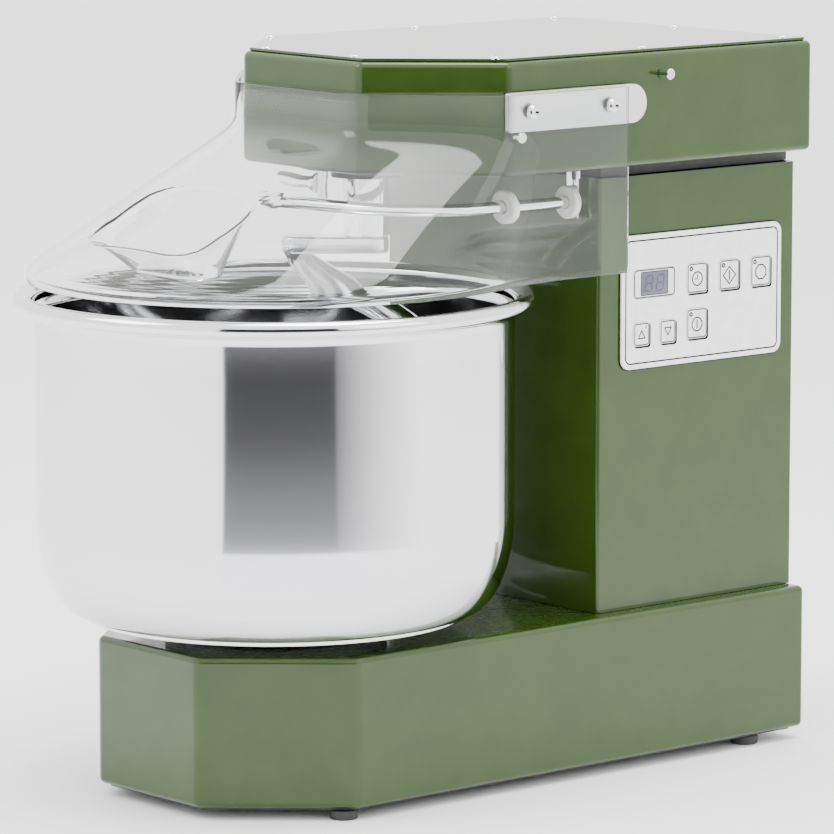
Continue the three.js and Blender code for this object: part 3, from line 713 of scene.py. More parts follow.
def guard_levels():
    """(share of the way from skirt to collar, height) from the bottom edge up."""
    low, high = SKIRT_Z - 4 * MM, FOLD_Z + 8 * MM
    slope_low, slope_high = mix(SKIRT_Z, FOLD_Z, EASE), mix(FOLD_Z, SKIRT_Z, EASE)
    levels = [(0, guard_low.z), (0, low)]
    for t in FOLD_STEPS:
        levels.append((EASE * t * t, eased(low, SKIRT_Z, slope_low, t)))
    for i in range(SLOPE_STEPS + 1):
        share = mix(EASE, 1 - EASE, i / SLOPE_STEPS)
        levels.append((share, mix(SKIRT_Z, FOLD_Z, share)))
    for t in FOLD_STEPS:
        levels.append((1 - EASE * (1 - t) ** 2, eased(slope_high, FOLD_Z, high, t)))
    return levels + [(1, high), (1, guard_high.z)]


levels = guard_levels()
rows_up = len(levels) - 1


def guard_point(i, j):
    share, height = levels[j]
    spot = skirt_line[i].lerp(collar_line[i], share)
    return Vector((spot.x, spot.y, height))


def slope_height(x, y):
    """Height of the guard's sloped front over a place in plan."""
    best = None
    first = sum(ACROSS[:3]) - 6
    for i in range(first, columns - first):
        low, high = skirt_line[i], collar_line[i]
        share = (y - low.y) / (high.y - low.y)
        off = abs(mix(low.x, high.x, share) - x)
        if best is None or off < best[0]:
            best = (off, mix(SKIRT_Z, FOLD_Z, share))
    return best[1]


# %% [markdown]
# The sheet starts as a flat grid, and each corner moves to its own step and level. The faces where the
# filling chute goes are then deleted, and the chute grows from the edge of that opening.

# %% Guard sheet
def in_window(i, j):
    """Whether a corner of the grid lies in the stretch of the front that the chute replaces."""
    first = sum(ACROSS[:3]) + 1
    depth = guard_point(columns // 2, j).y
    return first <= i <= columns - first and CHUTE_FRONT - 14 * MM < depth < CHUTE_BACK + 11 * MM


CHUTE_FRONT = base_front - 9 * MM      # the chute's edges, at the slope and at its mouth
CHUTE_BACK = base_front + 58 * MM
MOUTH_FRONT = base_front + 17 * MM
MOUTH_BACK = base_front + 43 * MM

nothing()
bpy.ops.mesh.primitive_grid_add(x_subdivisions=columns, y_subdivisions=rows_up, size=2)
guard = bpy.context.object
settle(guard)
steps_of = {}
for corner in guard.data.vertices:
    i = round((corner.co.x + 1) / 2 * columns)
    j = round((corner.co.y + 1) / 2 * rows_up)
    steps_of[corner.index] = (i, j)
    corner.co = guard_point(i, j)

edit(guard, "FACE")
mesh = bmesh.from_edit_mesh(guard.data)
for face in mesh.faces:
    face.select_set(all(in_window(*steps_of[v.index]) for v in face.verts))
bmesh.update_edit_mesh(guard.data)
window_faces = sum(face.select for face in mesh.faces)
bpy.ops.mesh.delete(type="FACE")
leave()
print("guard grid opened for the chute:", window_faces, "faces")

# %% [markdown]
# ### Filling chute
# The chute is pressed down into the slope. From the edge of the opening, ring after ring is extruded and
# moved: first onto a rounded outline on the slope, then over a soft lip, then down to the narrow mouth.
# A superellipse gives the rounded outline, and each corner keeps its own direction from ring to ring.

# %% Chute rings
ROUND = 4.0                            # squareness of the chute's outline


def ring_point(angle, middle, half_x, half_y):
    reach = (abs(cos(angle)) ** ROUND + abs(sin(angle)) ** ROUND) ** (-1 / ROUND)
    return half_x * reach * cos(angle), middle + half_y * reach * sin(angle)


def outlines_of_chute():
    """Three rounded outlines: flare on the slope, rim, and narrow mouth below (middle, half x, half y)."""
    middle, half_x, half_y = (CHUTE_FRONT + CHUTE_BACK) / 2, 58 * MM, (CHUTE_BACK - CHUTE_FRONT) / 2
    return [
        (middle, half_x + LIP, half_y + LIP),
        (middle, half_x, half_y),
        ((MOUTH_FRONT + MOUTH_BACK) / 2, 35 * MM, (MOUTH_BACK - MOUTH_FRONT) / 2),
    ]


def chute_weights():
    """How much each ring takes from the three outlines: a soft fold over the rim, then a straight wall."""
    fold, wall = 9, 6
    weights = []
    for i in range(fold + 1):
        t = i / fold
        weights.append(((1 - t) ** 2, 2 * t * (1 - t) + t * t * (1 - FOLD_REACH), t * t * FOLD_REACH))
    for i in range(1, wall + 1):
        share = mix(FOLD_REACH, 1, i / wall)
        weights.append((0, 1 - share, share))
    return weights


def chute_corner(angle, weights):
    corners = [Vector((*ring_point(angle, *shape), 0)) for shape in chute_shapes]
    for corner in corners[:2]:
        corner.z = slope_height(corner.x, corner.y)
    corners[2].z = CHUTE_BOTTOM
    return sum((corner * weight for corner, weight in zip(corners, weights)), Vector())


CHUTE_BOTTOM = guard_low.z + 10 * MM
LIP = 6 * MM
FOLD_REACH = 0.35
chute_shapes = outlines_of_chute()
edit(guard)
mesh = bmesh.from_edit_mesh(guard.data)
for edge in mesh.edges:
    on_slope = all(abs(v.co.x) < 100 * MM and SKIRT_Z + 2 * MM < v.co.z < FOLD_Z for v in edge.verts)
    edge.select_set(edge.is_boundary and on_slope)
bmesh.update_edit_mesh(guard.data)

before = chute_shapes[1]
for weights in chute_weights():
    bpy.ops.mesh.extrude_edges_move()
    move_picked(guard, lambda spot: chute_corner(
        atan2((spot.y - before[0]) / before[2], spot.x / before[1]), weights,
    ))
    before = [sum(w * shape[k] for w, shape in zip(weights, chute_shapes)) for k in range(3)]
leave()

# %% [markdown]
# Light bends in clear sheet only if it has two sides, so Solidify gives it 3 mm, inwards from the outer face.
# A small bevel on the cut edges catches the light, as a polished edge does.

# %% Guard thickness
edit(guard, "FACE")
bpy.ops.mesh.select_all(action="SELECT")
bpy.ops.mesh.normals_make_consistent(inside=False)
leave()
outward = sum((p.normal.x * p.center.x for p in guard.data.polygons if abs(p.center.x) > 100 * MM), 0.0)
if outward < 0:
    edit(guard, "FACE")
    bpy.ops.mesh.select_all(action="SELECT")
    bpy.ops.mesh.flip_normals()
    leave()
modify(guard, "SOLIDIFY", thickness=SHEET_CLEAR, offset=-1, use_even_offset=True)
soften(guard, 0.5 * MM, 2, 60)
finish(guard, "clear_guard", "guard", clear_sheet, ["guard_shell"], 40)

# %% [markdown]
# ## Hinge plates, hinge shaft and stops
# A flat steel strip with a half-round rear end carries the guard on each side. It starts as a block, and a
# bevel on its two rear corners, as wide as half its height, makes the half round.

# %% Hinge plates
for side in ("left", "right"):
    node = f"guard_plate_{side}"
    low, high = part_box(node)
    plate = add_block(low, high)
    half = (high.z - low.z) / 2
    round_edges(plate, lambda a, b: abs(a.x - b.x) > MM and min(a.y, b.y) > high.y - MM, half - 0.01 * MM, 24)
    round_edges(plate, lambda a, b: abs(a.x - b.x) > MM and max(a.y, b.y) < low.y + MM, 2 * MM, 5)
    soften(plate, 0.4 * MM, 2, 50)
    finish(plate, f"hinge_plate_{side}", "guard", plate_steel, [node], flat_faces=True)

# %% [markdown]
# Two button-head screws on each side clamp the guard to its hinge plate. They turn with the guard.

# %% Guard screws
pivot_z = centre_of("guard_hinge_shaft").z
plate_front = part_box("guard_plate_right")[0].y
screw_x = PANEL_X + 0.8 * MM
guard_screws = [
    place(dome_screw(5.3 * MM, 3 * MM, 0.42), (sign * screw_x, plate_front + y * MM, pivot_z), turn)
    for sign, turn in ((1, TO_RIGHT), (-1, TO_LEFT)) for y in (19.4, 96)
]
finish(join(guard_screws), "guard_screws", "guard", bright_steel)

# %% [markdown]
# Pins and rods are turned pieces with a small chamfer at each end, laid along X by a quarter turn.

# %% Rods along X
def rod(length, radius, chamfer=0.5 * MM, sides=40):
    return turned([
        (radius - chamfer, 0), (radius, chamfer), (radius, length - chamfer), (radius - chamfer, length),
    ], sides)


def rod_along_x(node):
    low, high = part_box(node)
    piece = rod(high.x - low.x, (high.z - low.z) / 2)
    return place(piece, (low.x, centre_of(node).y, centre_of(node).z), TO_RIGHT)


for node in ("closed_stop_left", "closed_stop_right", "open_stop_left", "open_stop_right"):
    finish(rod_along_x(node), node + "_pin", "cabinet", bright_steel, [node])
hinge_shaft = rod_along_x("guard_hinge_shaft")
finish(hinge_shaft, "hinge_shaft_pin", "guard", plate_steel, ["guard_hinge_shaft"])

# %% [markdown]
# ## Spiral
# The shaft comes down out of the head and carries a flat arm. The round bar of the spiral is welded under
# the end of the arm and winds down into the bowl. A curve with a round bevel follows that path smoothly and
# is then turned into a mesh.

# %% Bars along a smooth path
def curve_bar(points, radius, name, sides=6, order=4):
    data = bpy.data.curves.new(name, "CURVE")
    data.dimensions = "3D"
    data.bevel_depth = radius
    data.bevel_resolution = sides
    data.use_fill_caps = True
    data.resolution_u = 6
    spline = data.splines.new("NURBS")
    spline.points.add(len(points) - 1)
    for target, spot in zip(spline.points, points):
        target.co = (*spot, 1)
    spline.order_u = order
    spline.use_endpoint_u = True
    piece = bpy.data.objects.new(name, data)
    bpy.context.scene.collection.objects.link(piece)
    only(piece)
    bpy.ops.object.convert(target="MESH")
    return bpy.context.object


# %% [markdown]
# The arm is a block with well rounded upright edges, set at the angle at which the machine stands still. The
# bar starts under the arm's end, winds down near the bowl's wall, and tucks in at the bottom.

# %% Spiral shaft, arm and bar
shaft_low, shaft_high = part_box("spiral_shaft")
shaft_axis = centre_of("spiral_shaft")
shaft_radius = shaft_high.x
STUB = 12 * MM                         # radius of the thinner top, and the height of its shoulder
shoulder = shaft_high.z - 21 * MM
shaft = turned([
    (shaft_radius - MM, shaft_low.z), (shaft_radius, shaft_low.z + MM), (shaft_radius, shoulder),
    (STUB, shoulder), (STUB, shaft_high.z - MM), (STUB - MM, shaft_high.z),
], 64)
place(shaft, (0, shaft_axis.y, 0))
finish(shaft, "spiral_shank", "spiral_group", bright_steel, ["spiral_shaft"])

ARM_ANGLE = radians(229)
ARM_REACH = 50 * MM
HOOK_BAR = 10 * MM
HOOK_TURNS = 1.3
ARM_THICK = 12 * MM
hook_low, hook_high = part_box("spiral_hook")


def hook_path(steps=40):
    points = []
    top, low_end = hook_high.z - 9 * MM, hook_low.z + 10 * MM
    for i in range(steps + 1):
        share = i / steps
        tuck = max(0.0, share - 0.75) / 0.25
        radius = ARM_REACH + 3 * MM * min(1, share * 4) - 22 * MM * tuck * tuck
        angle = ARM_ANGLE - 2 * pi * HOOK_TURNS * share
        points.append((radius * cos(angle), shaft_axis.y + radius * sin(angle), mix(top, low_end, share)))
    return points


hook = curve_bar(hook_path(), HOOK_BAR, "spiral_bar", 5)
arm = add_block((-13 * MM, -ARM_REACH - 11 * MM, hook_high.z - ARM_THICK), (13 * MM, 16 * MM, hook_high.z))
round_edges(arm, lambda a, b: abs(a.z - b.z) > MM, 12 * MM, 12)
soften(arm, 2 * MM, 4, 50)
place(arm, (0, shaft_axis.y, 0), (0, 0, ARM_ANGLE + pi / 2))
hook = join([hook, arm])
finish(hook, "spiral_arm_and_bar", "spiral_group", hook_steel, ["spiral_hook"])

# %% [markdown]
# ## Bar under the head
# A bright round bar comes forward from a bracket at the column, bends across in front of the spiral's shaft
# and ends free. It hangs from a pin under the head and carries two white plastic discs.

# %% Bar, hanger and discs
BAR = 4.5 * MM
bar_low, bar_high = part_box("deflector_bar")
bracket_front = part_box("bar_disc_rear")[1].y + MM
disc_middle = centre_of("bar_disc_rear")
bar_x, level, bar_end = disc_middle.x, disc_middle.z, bar_high.y
# How far each point of the path is to the left of the bar's rear end, and in front of it
BAR_PATH = [(0, 0), (0, 30), (0, 60), (0, 78), (2, 98), (11, 119), (30, 141), (59, 157)]
path = [(bar_x - left * MM, bar_end - ahead * MM, level) for left, ahead in BAR_PATH]
free_end = [(0, 161.7), (-32 * MM, 166.2), (bar_low.x + MM, 167.7)]
path += [(x, bar_end - ahead * MM, level) for x, ahead in free_end]
bar = curve_bar(path, BAR, "bent_bar", 7)
soften(bar, 1.2 * MM, 3, 60)
bracket = add_block(
    (bar_x - 6 * MM, bracket_front, bar_low.z), (bar_x + 6 * MM, bracket_front + 3 * MM, bar_high.z),
)
soften(bracket, 0.5 * MM)
finish(join([bar, bracket]), "deflector_rod", "cabinet", bright_steel, ["deflector_bar"])

hanger_low, hanger_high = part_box("bar_hanger")
hanger_y = centre_of("bar_hanger").y
pin = place(rod(hanger_high.z - hanger_low.z, 3.8 * MM, 0.3 * MM), (0, hanger_y, hanger_low.z))
buffer_profile = [
    (7.2 * MM, 0), (8 * MM, 0.8 * MM), (8 * MM, 2.8 * MM), (7 * MM, 3.6 * MM),
    (5 * MM, 5 * MM), (5 * MM, 40 * MM), (4.2 * MM, 43 * MM), (2.4 * MM, 44 * MM),
]
buffer_z = hanger_high.z - 10.6 * MM
buffer = place(turned(buffer_profile, 48), (-3.4 * MM, hanger_y, buffer_z), TO_LEFT)
finish(join([pin, buffer]), "hanger_pin_and_buffer", "cabinet", bright_steel, ["bar_hanger"])

for name in ("bar_disc_front", "bar_disc_rear"):
    low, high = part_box(name)
    radius, width = (high.x - low.x) / 2, high.y - low.y
    bore = BAR + 0.4 * MM
    disc = turned([
        (bore, 0), (radius - MM, 0), (radius, MM), (radius, width - MM), (radius - MM, width), (bore, width),
        (bore, 0),
    ], 64, closed=True)
    middle = centre_of(name)
    place(disc, (middle.x, low.y, middle.z), TO_BACK)
    finish(disc, name + "_turned", "cabinet", white_plastic, [name])

# %% [markdown]
# ## Feet
# Each rubber foot is a short turned stud, a little narrower at the floor, with a recess for its screw.

# %% Feet
for end in ("front", "back"):
    for side in ("left", "right"):
        node = f"foot_{end}_{side}"
        low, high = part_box(node)
        radius = (high.x - low.x) / 2
        middle = centre_of(node)
        profile = [
            (6.2 * MM, 0), (radius - 1.4 * MM, 0), (radius - 0.5 * MM, 0.6 * MM), (radius - 0.2 * MM, 2 * MM),
            (radius, high.z - MM), (radius - 0.6 * MM, high.z), (3.3 * MM, high.z), (3.3 * MM, 3.2 * MM),
            (6.2 * MM, 3.2 * MM), (6.2 * MM, 0),
        ]
        foot = place(turned(profile, 48, closed=True), (middle.x, middle.y, 0))
        finish(foot, node + "_stud", "cabinet", foot_rubber, [node])
        screw = place(dome_screw(5.2 * MM, 1.8 * MM), (middle.x, middle.y, 2.9 * MM), (pi, 0, 0))
        finish(screw, f"foot_screw_{end}_{side}", "cabinet", bright_steel)

# %% [markdown]
# ## Control panel
# The panel is a light plate with rounded corners and a printed line inside its edge. The keys stand a little
# proud in their own openings, so that a key can be pressed in. Icons are thin inlays that ride on their key.

# %% Rounded plates facing right
def rounded_plate(low, high, corner, soft=0.3 * MM, segments=8):
    """Plate that faces +X, with its four outline corners rounded."""
    piece = add_block(low, high)
    round_edges(piece, lambda a, b: abs(a.x - b.x) > MM / 20, corner, segments)
    if soft:
        soften(piece, soft, 2, 60)
    return piece


def grown(low, high, amount, deep=0.0):
    grow = Vector((deep, amount, amount))
    return low - grow, high + grow


KEYS = ("key_timer", "key_start", "key_stop", "key_power", "key_up", "key_down")
KEY_CORNER = 2.4 * MM
panel = rounded_plate(panel_low, panel_high, 8 * MM, 0.35 * MM)
for key in KEYS:
    carve_with(panel, rounded_plate(*grown(*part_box(key), 0.3 * MM, 10 * MM), KEY_CORNER + 0.3 * MM, 0))
window_low, window_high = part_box("display_window")
carve_with(panel, rounded_plate(*grown(window_low, window_high, 0.3 * MM, 10 * MM), 3 * MM, 0))
finish(panel, "key_panel", "cabinet", panel_film, ["control_panel"], 30, True)


# %% [markdown]
# Printing is made as very thin inlays of dark ink: rounded outlines, rings and bars. A shape lasts in every
# viewer, while a printed texture would have to be baked. The same thin inlays also carry painted shade round
# the panel and under the keys.

# %% Thin printed shapes, also used for painted shade
INLAY = 0.12 * MM


def strip_ring(centre, half_y, half_z, corner, width, face_x, segments=6):
    """Thin closed line round a rounded rectangle, standing on a face that looks along +X."""
    low = Vector((face_x, centre[0] - half_y, centre[1] - half_z))
    high = Vector((face_x + INLAY, centre[0] + half_y, centre[1] + half_z))
    outer = rounded_plate(low, high, corner, 0, segments)
    inner_low, inner_high = grown(low, high, -width, 5 * MM)
    carve_with(outer, rounded_plate(inner_low, inner_high, max(corner - width, 0.2 * MM), 0, segments))
    return outer


def ink_ring(centre, outer, inner, face_x, sides=32, turn=0.0):
    """Thin ring, or a polygon outline with few sides."""
    piece = turned([(inner, 0), (outer, 0), (outer, INLAY), (inner, INLAY), (inner, 0)], sides, closed=True)
    place(piece, (0, 0, 0), (0, 0, turn))
    return place(piece, (face_x, *centre), TO_RIGHT)


def ink_bar(centre, half_y, half_z, face_x, lean=0.0):
    return place(add_block((0, -half_y, -half_z), (INLAY, half_y, half_z)), (face_x, *centre), (lean, 0, 0))


# %% [markdown]
# A line runs round the panel, and a dark ring just larger than the panel, behind its edge, is painted shade:
# it shows as a thin shadow round the edge. The display sits in a light frame: smoky glass with a dark line
# round it.

# %% Panel lines and display
panel_face = panel_high.x - 0.02 * MM
panel_mid, panel_half = centre_of("control_panel"), (panel_high - panel_low) / 2
LINE_INSET, EDGE_SHADE_MARGIN = 3.6 * MM, 0.8 * MM


def panel_line(outward, corner, width, face_x):
    half_y, half_z = panel_half.y + outward, panel_half.z + outward
    return strip_ring((panel_mid.y, panel_mid.z), half_y, half_z, corner, width, face_x)


border = panel_line(-LINE_INSET, 5 * MM, 1.1 * MM, panel_face)
# Painted shade: the dark ring behind the panel's edge stands in for the shade in the gap round the panel.
painted_edge_shade = panel_line(EDGE_SHADE_MARGIN, 8 * MM + EDGE_SHADE_MARGIN, 4 * MM, panel_low.x + 0.3 * MM)
finish(join([border, painted_edge_shade]), "panel_line_and_edge_shade", "cabinet", ink_and_painted_shade, smooth=0)

display_mid = centre_of("display_window")
window_frame = rounded_plate(window_low, window_high, 2.8 * MM, 0.25 * MM)
finish(window_frame, "display_frame", "cabinet", key_film, ["display_window"], 30, True)
frame_face = window_high.x - 0.02 * MM
display_spot = (display_mid.y, display_mid.z)
frame_line = strip_ring(display_spot, 20.3 * MM, 10.3 * MM, 2.8 * MM, 0.8 * MM, frame_face)
finish(frame_line, "display_frame_line", "cabinet", ink_and_painted_shade, smooth=0)
glass_half = Vector((0, 13.4, 8.6)) * MM
glass_low = Vector((frame_face, *display_spot)) - glass_half
glass_high = Vector((frame_face + 0.16 * MM, *display_spot)) + glass_half
glass = rounded_plate(glass_low, glass_high, 0.8 * MM, 0.05 * MM, 4)
finish(glass, "display_glass", "cabinet", display_glass, smooth=30)
glass_face = glass_high.x - 0.06 * MM
glass_line = strip_ring(display_spot, 13.6 * MM, 8.8 * MM, 0.8 * MM, 0.5 * MM, glass_face, 3)
finish(glass_line, "display_edge", "cabinet", ink_and_painted_shade, smooth=0)

# %% [markdown]
# The display has two figures of seven bars each, unlit. Each bar is a thin block, and the figures lean a
# little, as such displays do.

# %% Display bars
def figure(figure_y):
    reach_y, reach_z, thick = 3.3 * MM, 5.6 * MM, 0.55 * MM
    bars = []
    for z in (-reach_z, 0, reach_z):
        bars.append(ink_bar((figure_y + 0.12 * z, display_mid.z + z), reach_y - thick, thick, glass_face))
    for y in (-reach_y, reach_y):
        for z in (-reach_z / 2, reach_z / 2):
            spot = (figure_y + y + 0.12 * z, display_mid.z + z)
            bars.append(ink_bar(spot, thick, reach_z / 2 - thick, glass_face, -0.12))
    return bars


digits = join(figure(display_mid.y - 5.6 * MM) + figure(display_mid.y + 5.6 * MM))
finish(digits, "display_figures", "cabinet", display_digit, smooth=0)

# %% [markdown]
# Each key gets a painted shadow on its right and below, the shade that its raised cap casts: a dark plate as
# large as the key, shifted a little, with the key's opening cut out of it.

# %% Painted key shadows
SHADOW = Vector((0, 1.5, -1.2)) * MM
shadows = []
for key in KEYS:
    low, high = grown(*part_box(key), 0.35 * MM)
    low.x, high.x = panel_face, panel_face + INLAY
    shadow = rounded_plate(low + SHADOW, high + SHADOW, KEY_CORNER, 0, 6)
    opening = grown(*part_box(key), 0.3 * MM, 10 * MM)
    carve_with(shadow, rounded_plate(*opening, KEY_CORNER + 0.3 * MM, 0))
    shadows.append(shadow)
finish(join(shadows), "key_painted_shadows", "cabinet", ink_and_painted_shade, smooth=0)

# %% [markdown]
# Each icon is made of rings (y, z, outer and inner radius, sides, turn) and bars (y, z, half width, half
# height), in millimetres from the key's middle. A ring with few sides is a polygon. The large keys also
# have a small lamp ring in their upper corner.

# %% Keys and their icons
ICONS = {
    "key_timer": ([(0, -0.6, 5.5, 4.5, 40, 0)], [(0, 1.0, 0.38, 1.9), (-1.3, -0.6, 1.6, 0.38)]),
    "key_start": ([(0, -0.6, 7.0, 5.7, 4, 0)], [(0, -0.6, 0.532, 3.8)]),
    "key_stop": ([(0, -0.6, 6.2, 5.1, 8, pi / 8)], []),
    "key_power": ([(0, -0.6, 5.5, 4.5, 40, 0)], [(0, -0.6, 0.532, 3.4)]),
    "key_up": ([(0, -1, 4.6, 2.9, 3, pi / 2)], [(4.4, 5.2, 0.9, 0.3), (4.4, 5.2, 0.3, 0.9)]),
    "key_down": ([(0, 1, 4.6, 2.9, 3, -pi / 2)], [(4.4, -5.0, 0.9, 0.3)]),
}
LAMP_KEYS = ("key_timer", "key_start", "key_stop", "key_power")
for key in KEYS:
    low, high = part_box(key)
    cap = rounded_plate(low, high, KEY_CORNER, 0.35 * MM, 6)
    finish(cap, key + "_cap", key, key_film, [key], 30, True)
    face = high.x - 0.02 * MM
    middle = centre_of(key)
    half_y, half_z = (high.y - low.y) / 2, (high.z - low.z) / 2
    art = [strip_ring((middle.y, middle.z), half_y - 0.5 * MM, half_z - 0.5 * MM, KEY_CORNER, 0.8 * MM, face)]
    rings, bars = ICONS[key]
    for y, z, outer, inner, sides, turn in rings:
        spot = (middle.y + y * MM, middle.z + z * MM)
        art.append(ink_ring(spot, outer * MM, inner * MM, face, sides, turn=turn))
    for y, z, half_width, half_height in bars:
        spot = (middle.y + y * MM, middle.z + z * MM)
        art.append(ink_bar(spot, half_width * MM, half_height * MM, face))
    if key in LAMP_KEYS:
        art.append(ink_ring((low.y + 4.0 * MM, high.z - 4.0 * MM), 1.8 * MM, 0.7 * MM, face))
    finish(join(art), key + "_print", key, ink_and_painted_shade, smooth=0)

# %% [markdown]
# ## Power inlet
# The mains lead is not part of this model. Its inlet in the rear cover is a recessed black socket.

# %% Power inlet
inlet_low, inlet_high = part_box("power_inlet")
inlet_radius = (inlet_high.x - inlet_low.x) / 2
depth = inlet_high.y - inlet_low.y
inlet = turned([
    (inlet_radius, 0), (inlet_radius, depth - 0.5 * MM), (inlet_radius - 0.5 * MM, depth),
    (inlet_radius - 1.8 * MM, depth), (inlet_radius - 2 * MM, 2 * MM), (3 * MM, 2 * MM),
], 48)
place(inlet, (inlet_centre.x, inlet_low.y, inlet_centre.z), TO_BACK)
contact_place = Vector((inlet_centre.x, inlet_low.y + 2 * MM, inlet_centre.z))
contacts = [
    place(rod(8 * MM, MM, 0.3 * MM, 20), contact_place + Vector((x * MM, 0, 0)), TO_BACK) for x in (-3, 0, 3)
]
finish(inlet, "inlet_socket", "cabinet", black_plastic, ["power_inlet"])
finish(join(contacts), "inlet_contacts", "cabinet", bright_steel)

# %% [markdown]
# ## Inside and hidden parts
# The drive parts have the right shape already. They keep their CAD meshes and get real finishes.

# %% Finishes for the CAD parts that stay
STAYING = {
    "bowl_shaft": drive_steel, "bowl_sprocket": drive_steel, "bowl_chain": drive_steel,
    "lay_shaft": drive_steel, "lay_sprocket_lower": drive_steel, "lay_sprocket_upper": drive_steel,
    "spiral_sprocket": drive_steel, "spiral_chain": drive_steel, "motor_shaft": drive_steel,
    "motor_bracket": drive_steel, "guard_switch_cam": drive_steel, "motor": cast_iron,
    "bowl_bearing_housing": cast_iron, "lay_pulley": cast_iron, "motor_pulley": cast_iron,
    "lay_shaft_bearing_lower": cast_iron, "lay_shaft_bearing_upper": cast_iron,
    "spiral_bearing_housing": cast_iron, "drive_belt": belt_rubber, "base_bottom_plate": black_plastic,
    "head_mounting_plate": black_plastic, "guard_switch": black_plastic, "circuit_board": board_lacquer,
    "hinge_bush_left": white_plastic, "hinge_bush_right": white_plastic,
}
for node, material in STAYING.items():
    nodes[node].data.materials.clear()
    nodes[node].data.materials.append(material)
    only(nodes[node])
    bpy.ops.object.shade_smooth_by_angle(angle=radians(25))
print("CAD parts kept:", len(STAYING))

# %% [markdown]
# ## Studio
# The machine stands on a pale floor in a white room, lit softly from all round. Polished steel and gloss
# paint need something dark to reflect, or they look like chalk, so dark cards lie on the camera's side of
# the floor. Only reflections see them.

# %% Floor
nothing()
bpy.ops.mesh.primitive_plane_add(size=14, location=(0, 0, 0))
floor = bpy.context.object
floor.name = "studio_floor"
FLOOR_WHITE = (0.93, 0.93, 0.93)
floor_finish = Finish("studio_floor", FLOOR_WHITE, 0.75)
floor_finish.vary_roughness(floor_finish.noise(0.2), 0.7, 0.8)
floor.data.materials.append(floor_finish.material)

# %% [markdown]
# The bowl shows the dark card as one upright band with a sharp edge on the left and a soft one on the right,
# so the card is a fan about the bowl's axis, and a second fan beside it fades to the floor's white.

# %% Dark cards for reflections
CARD_START, CARD_END = 0.45, 7.0
CARD_LEFT, CARD_RIGHT, CARD_FADE = radians(-22), radians(29), radians(72)
CARD_SHADES = [(0.150, 0.90), (0.172, 0.16), (0.30, 0.040), (0.45, 0.022)]   # share of CARD_END, grey
CARD_EDGE = 0.08                       # how light the grey card is where it meets the dark one
TOWARDS = CAMERA_TURN - pi / 2          # compass direction of the camera, from +X


def fan(name, near, far, first, last, steps=48):
    """Flat ring section on the floor about the bowl's axis."""
    nothing()
    bpy.ops.mesh.primitive_grid_add(x_subdivisions=steps, y_subdivisions=1, size=2)
    piece = bpy.context.object
    settle(piece)
    for corner in piece.data.vertices:
        angle = TOWARDS + mix(first, last, (corner.co.x + 1) / 2)
        reach = mix(near, far, (corner.co.y + 1) / 2)
        corner.co = (bowl_axis.x + reach * cos(angle), bowl_axis.y + reach * sin(angle), 0.002)
    piece.name = name
    return piece


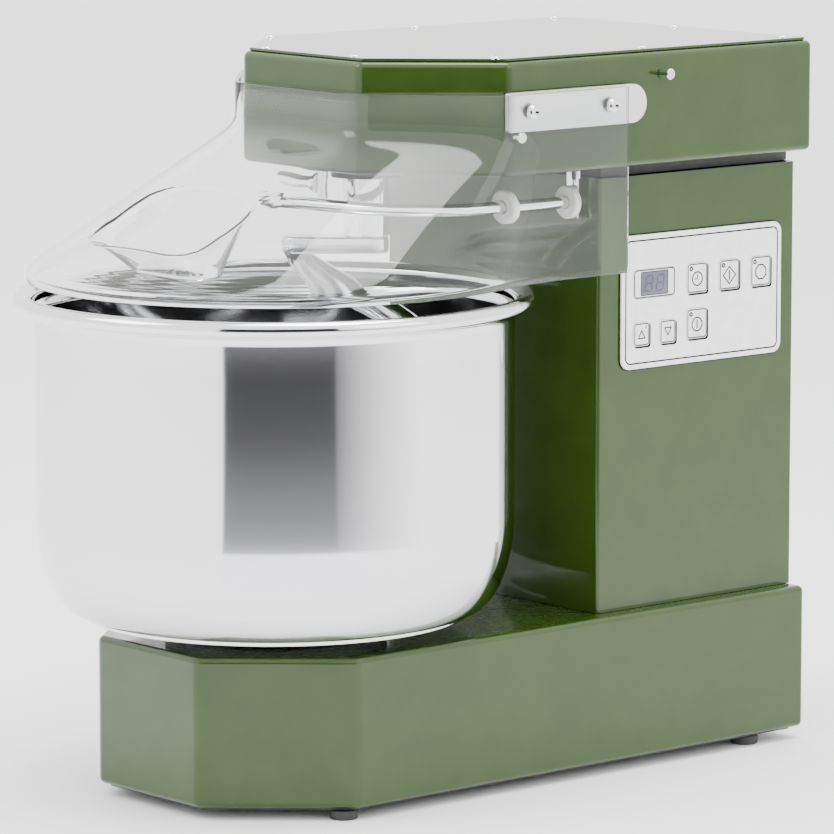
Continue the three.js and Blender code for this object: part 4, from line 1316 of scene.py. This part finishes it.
def card_material(name, direction_fades):
    """Dark cloth that is lighter near the machine, and, with direction_fades, towards the right."""
    cloth = Finish(name, (0.02, 0.02, 0.02), 0.9)
    cloth.set("Specular IOR Level", 0.0)
    shift = cloth.node("VectorMath", operation="SUBTRACT")
    shift.inputs[1].default_value = (bowl_axis.x, bowl_axis.y, 0)
    reach = cloth.node("VectorMath", operation="LENGTH")
    share = cloth.node("Math", operation="DIVIDE")
    share.inputs[1].default_value = CARD_END
    near = cloth.node("ValToRGB")
    shades = near.color_ramp
    shades.interpolation = "EASE"
    shades.elements[0].position = CARD_SHADES[0][0]
    shades.elements[1].position = CARD_SHADES[-1][0]
    for position, _ in CARD_SHADES[1:-1]:
        shades.elements.new(position)
    for element, (_, grey) in zip(shades.elements, CARD_SHADES):
        element.color = (grey, grey, grey * 1.06, 1)
    cloth.link(cloth.coords.outputs["Object"], shift.inputs[0])
    cloth.link(shift.outputs["Vector"], reach.inputs[0])
    cloth.link(reach.outputs["Value"], share.inputs[0])
    cloth.link(share.outputs["Value"], near.inputs["Fac"])
    color = near.outputs["Color"]
    if direction_fades:
        turn = cloth.node("VectorRotate", rotation_type="Z_AXIS")
        turn.inputs["Angle"].default_value = -TOWARDS
        split = cloth.node("SeparateXYZ")
        compass = cloth.node("Math", operation="ARCTAN2")
        cloth.link(shift.outputs["Vector"], turn.inputs["Vector"])
        cloth.link(turn.outputs["Vector"], split.inputs["Vector"])
        cloth.link(split.outputs["Y"], compass.inputs[0])
        cloth.link(split.outputs["X"], compass.inputs[1])
        lighter = cloth.ramp(compass.outputs["Value"], CARD_EDGE, 1.0, CARD_RIGHT, CARD_FADE)
        color = cloth.blend(lighter, color, FLOOR_WHITE)
    cloth.link(color, cloth.shader.inputs["Base Color"])
    return cloth.material


def for_reflections_only(piece):
    for ray in ("camera", "diffuse", "shadow", "transmission"):
        setattr(piece, f"visible_{ray}", False)


dark_fan = fan("studio_dark_floor", CARD_START, CARD_END, CARD_LEFT, CARD_RIGHT)
dark_fan.data.materials.append(card_material("studio_dark_floor", False))
for_reflections_only(dark_fan)
grey_fan = fan("studio_grey_floor", CARD_START, CARD_END, CARD_RIGHT, CARD_FADE)
grey_fan.data.materials.append(card_material("studio_grey_floor", True))
for_reflections_only(grey_fan)

WALL_HEIGHT = 3.2
dark_wall = fan("studio_dark_wall", CARD_END, CARD_END + 1, CARD_LEFT, CARD_RIGHT)
for corner in dark_wall.data.vertices:
    offset = Vector((corner.co.x - bowl_axis.x, corner.co.y - bowl_axis.y, 0))
    if offset.length > CARD_END + 0.5:
        corner.co = Vector((bowl_axis.x, bowl_axis.y, WALL_HEIGHT)) + offset.normalized() * CARD_END
dark_wall.data.materials.append(card_material("studio_dark_wall", False))
for_reflections_only(dark_wall)

# %% [markdown]
# A bright, even room gives soft shadows. Three large lamps add a direction: one from the front left, a weak
# one from the right, and one overhead that brightens the top faces.

# %% Light
world = bpy.data.worlds.new("white_room")
bpy.context.scene.world = world
world.use_nodes = True
room = world.node_tree.nodes["Background"]
room.inputs["Color"].default_value = (1, 1, 1, 1)
room.inputs["Strength"].default_value = 2.5


def soft_light(name, location, size, power):
    data = bpy.data.lights.new(name, "AREA")
    data.size = size
    data.energy = power
    light = bpy.data.objects.new(name, data)
    light.location = location
    light.rotation_euler = (Vector((0, 0, 0.25)) - Vector(location)).to_track_quat("-Z", "Y").to_euler()
    bpy.context.scene.collection.objects.link(light)


soft_light("key_light", (-1.2, -2.2, 2.4), 1.6, 45)
soft_light("fill_light", (2.8, 0.6, 1.8), 1.8, 20)
soft_light("overhead_light", (0.35, 0.15, 2.4), 1.3, 62)
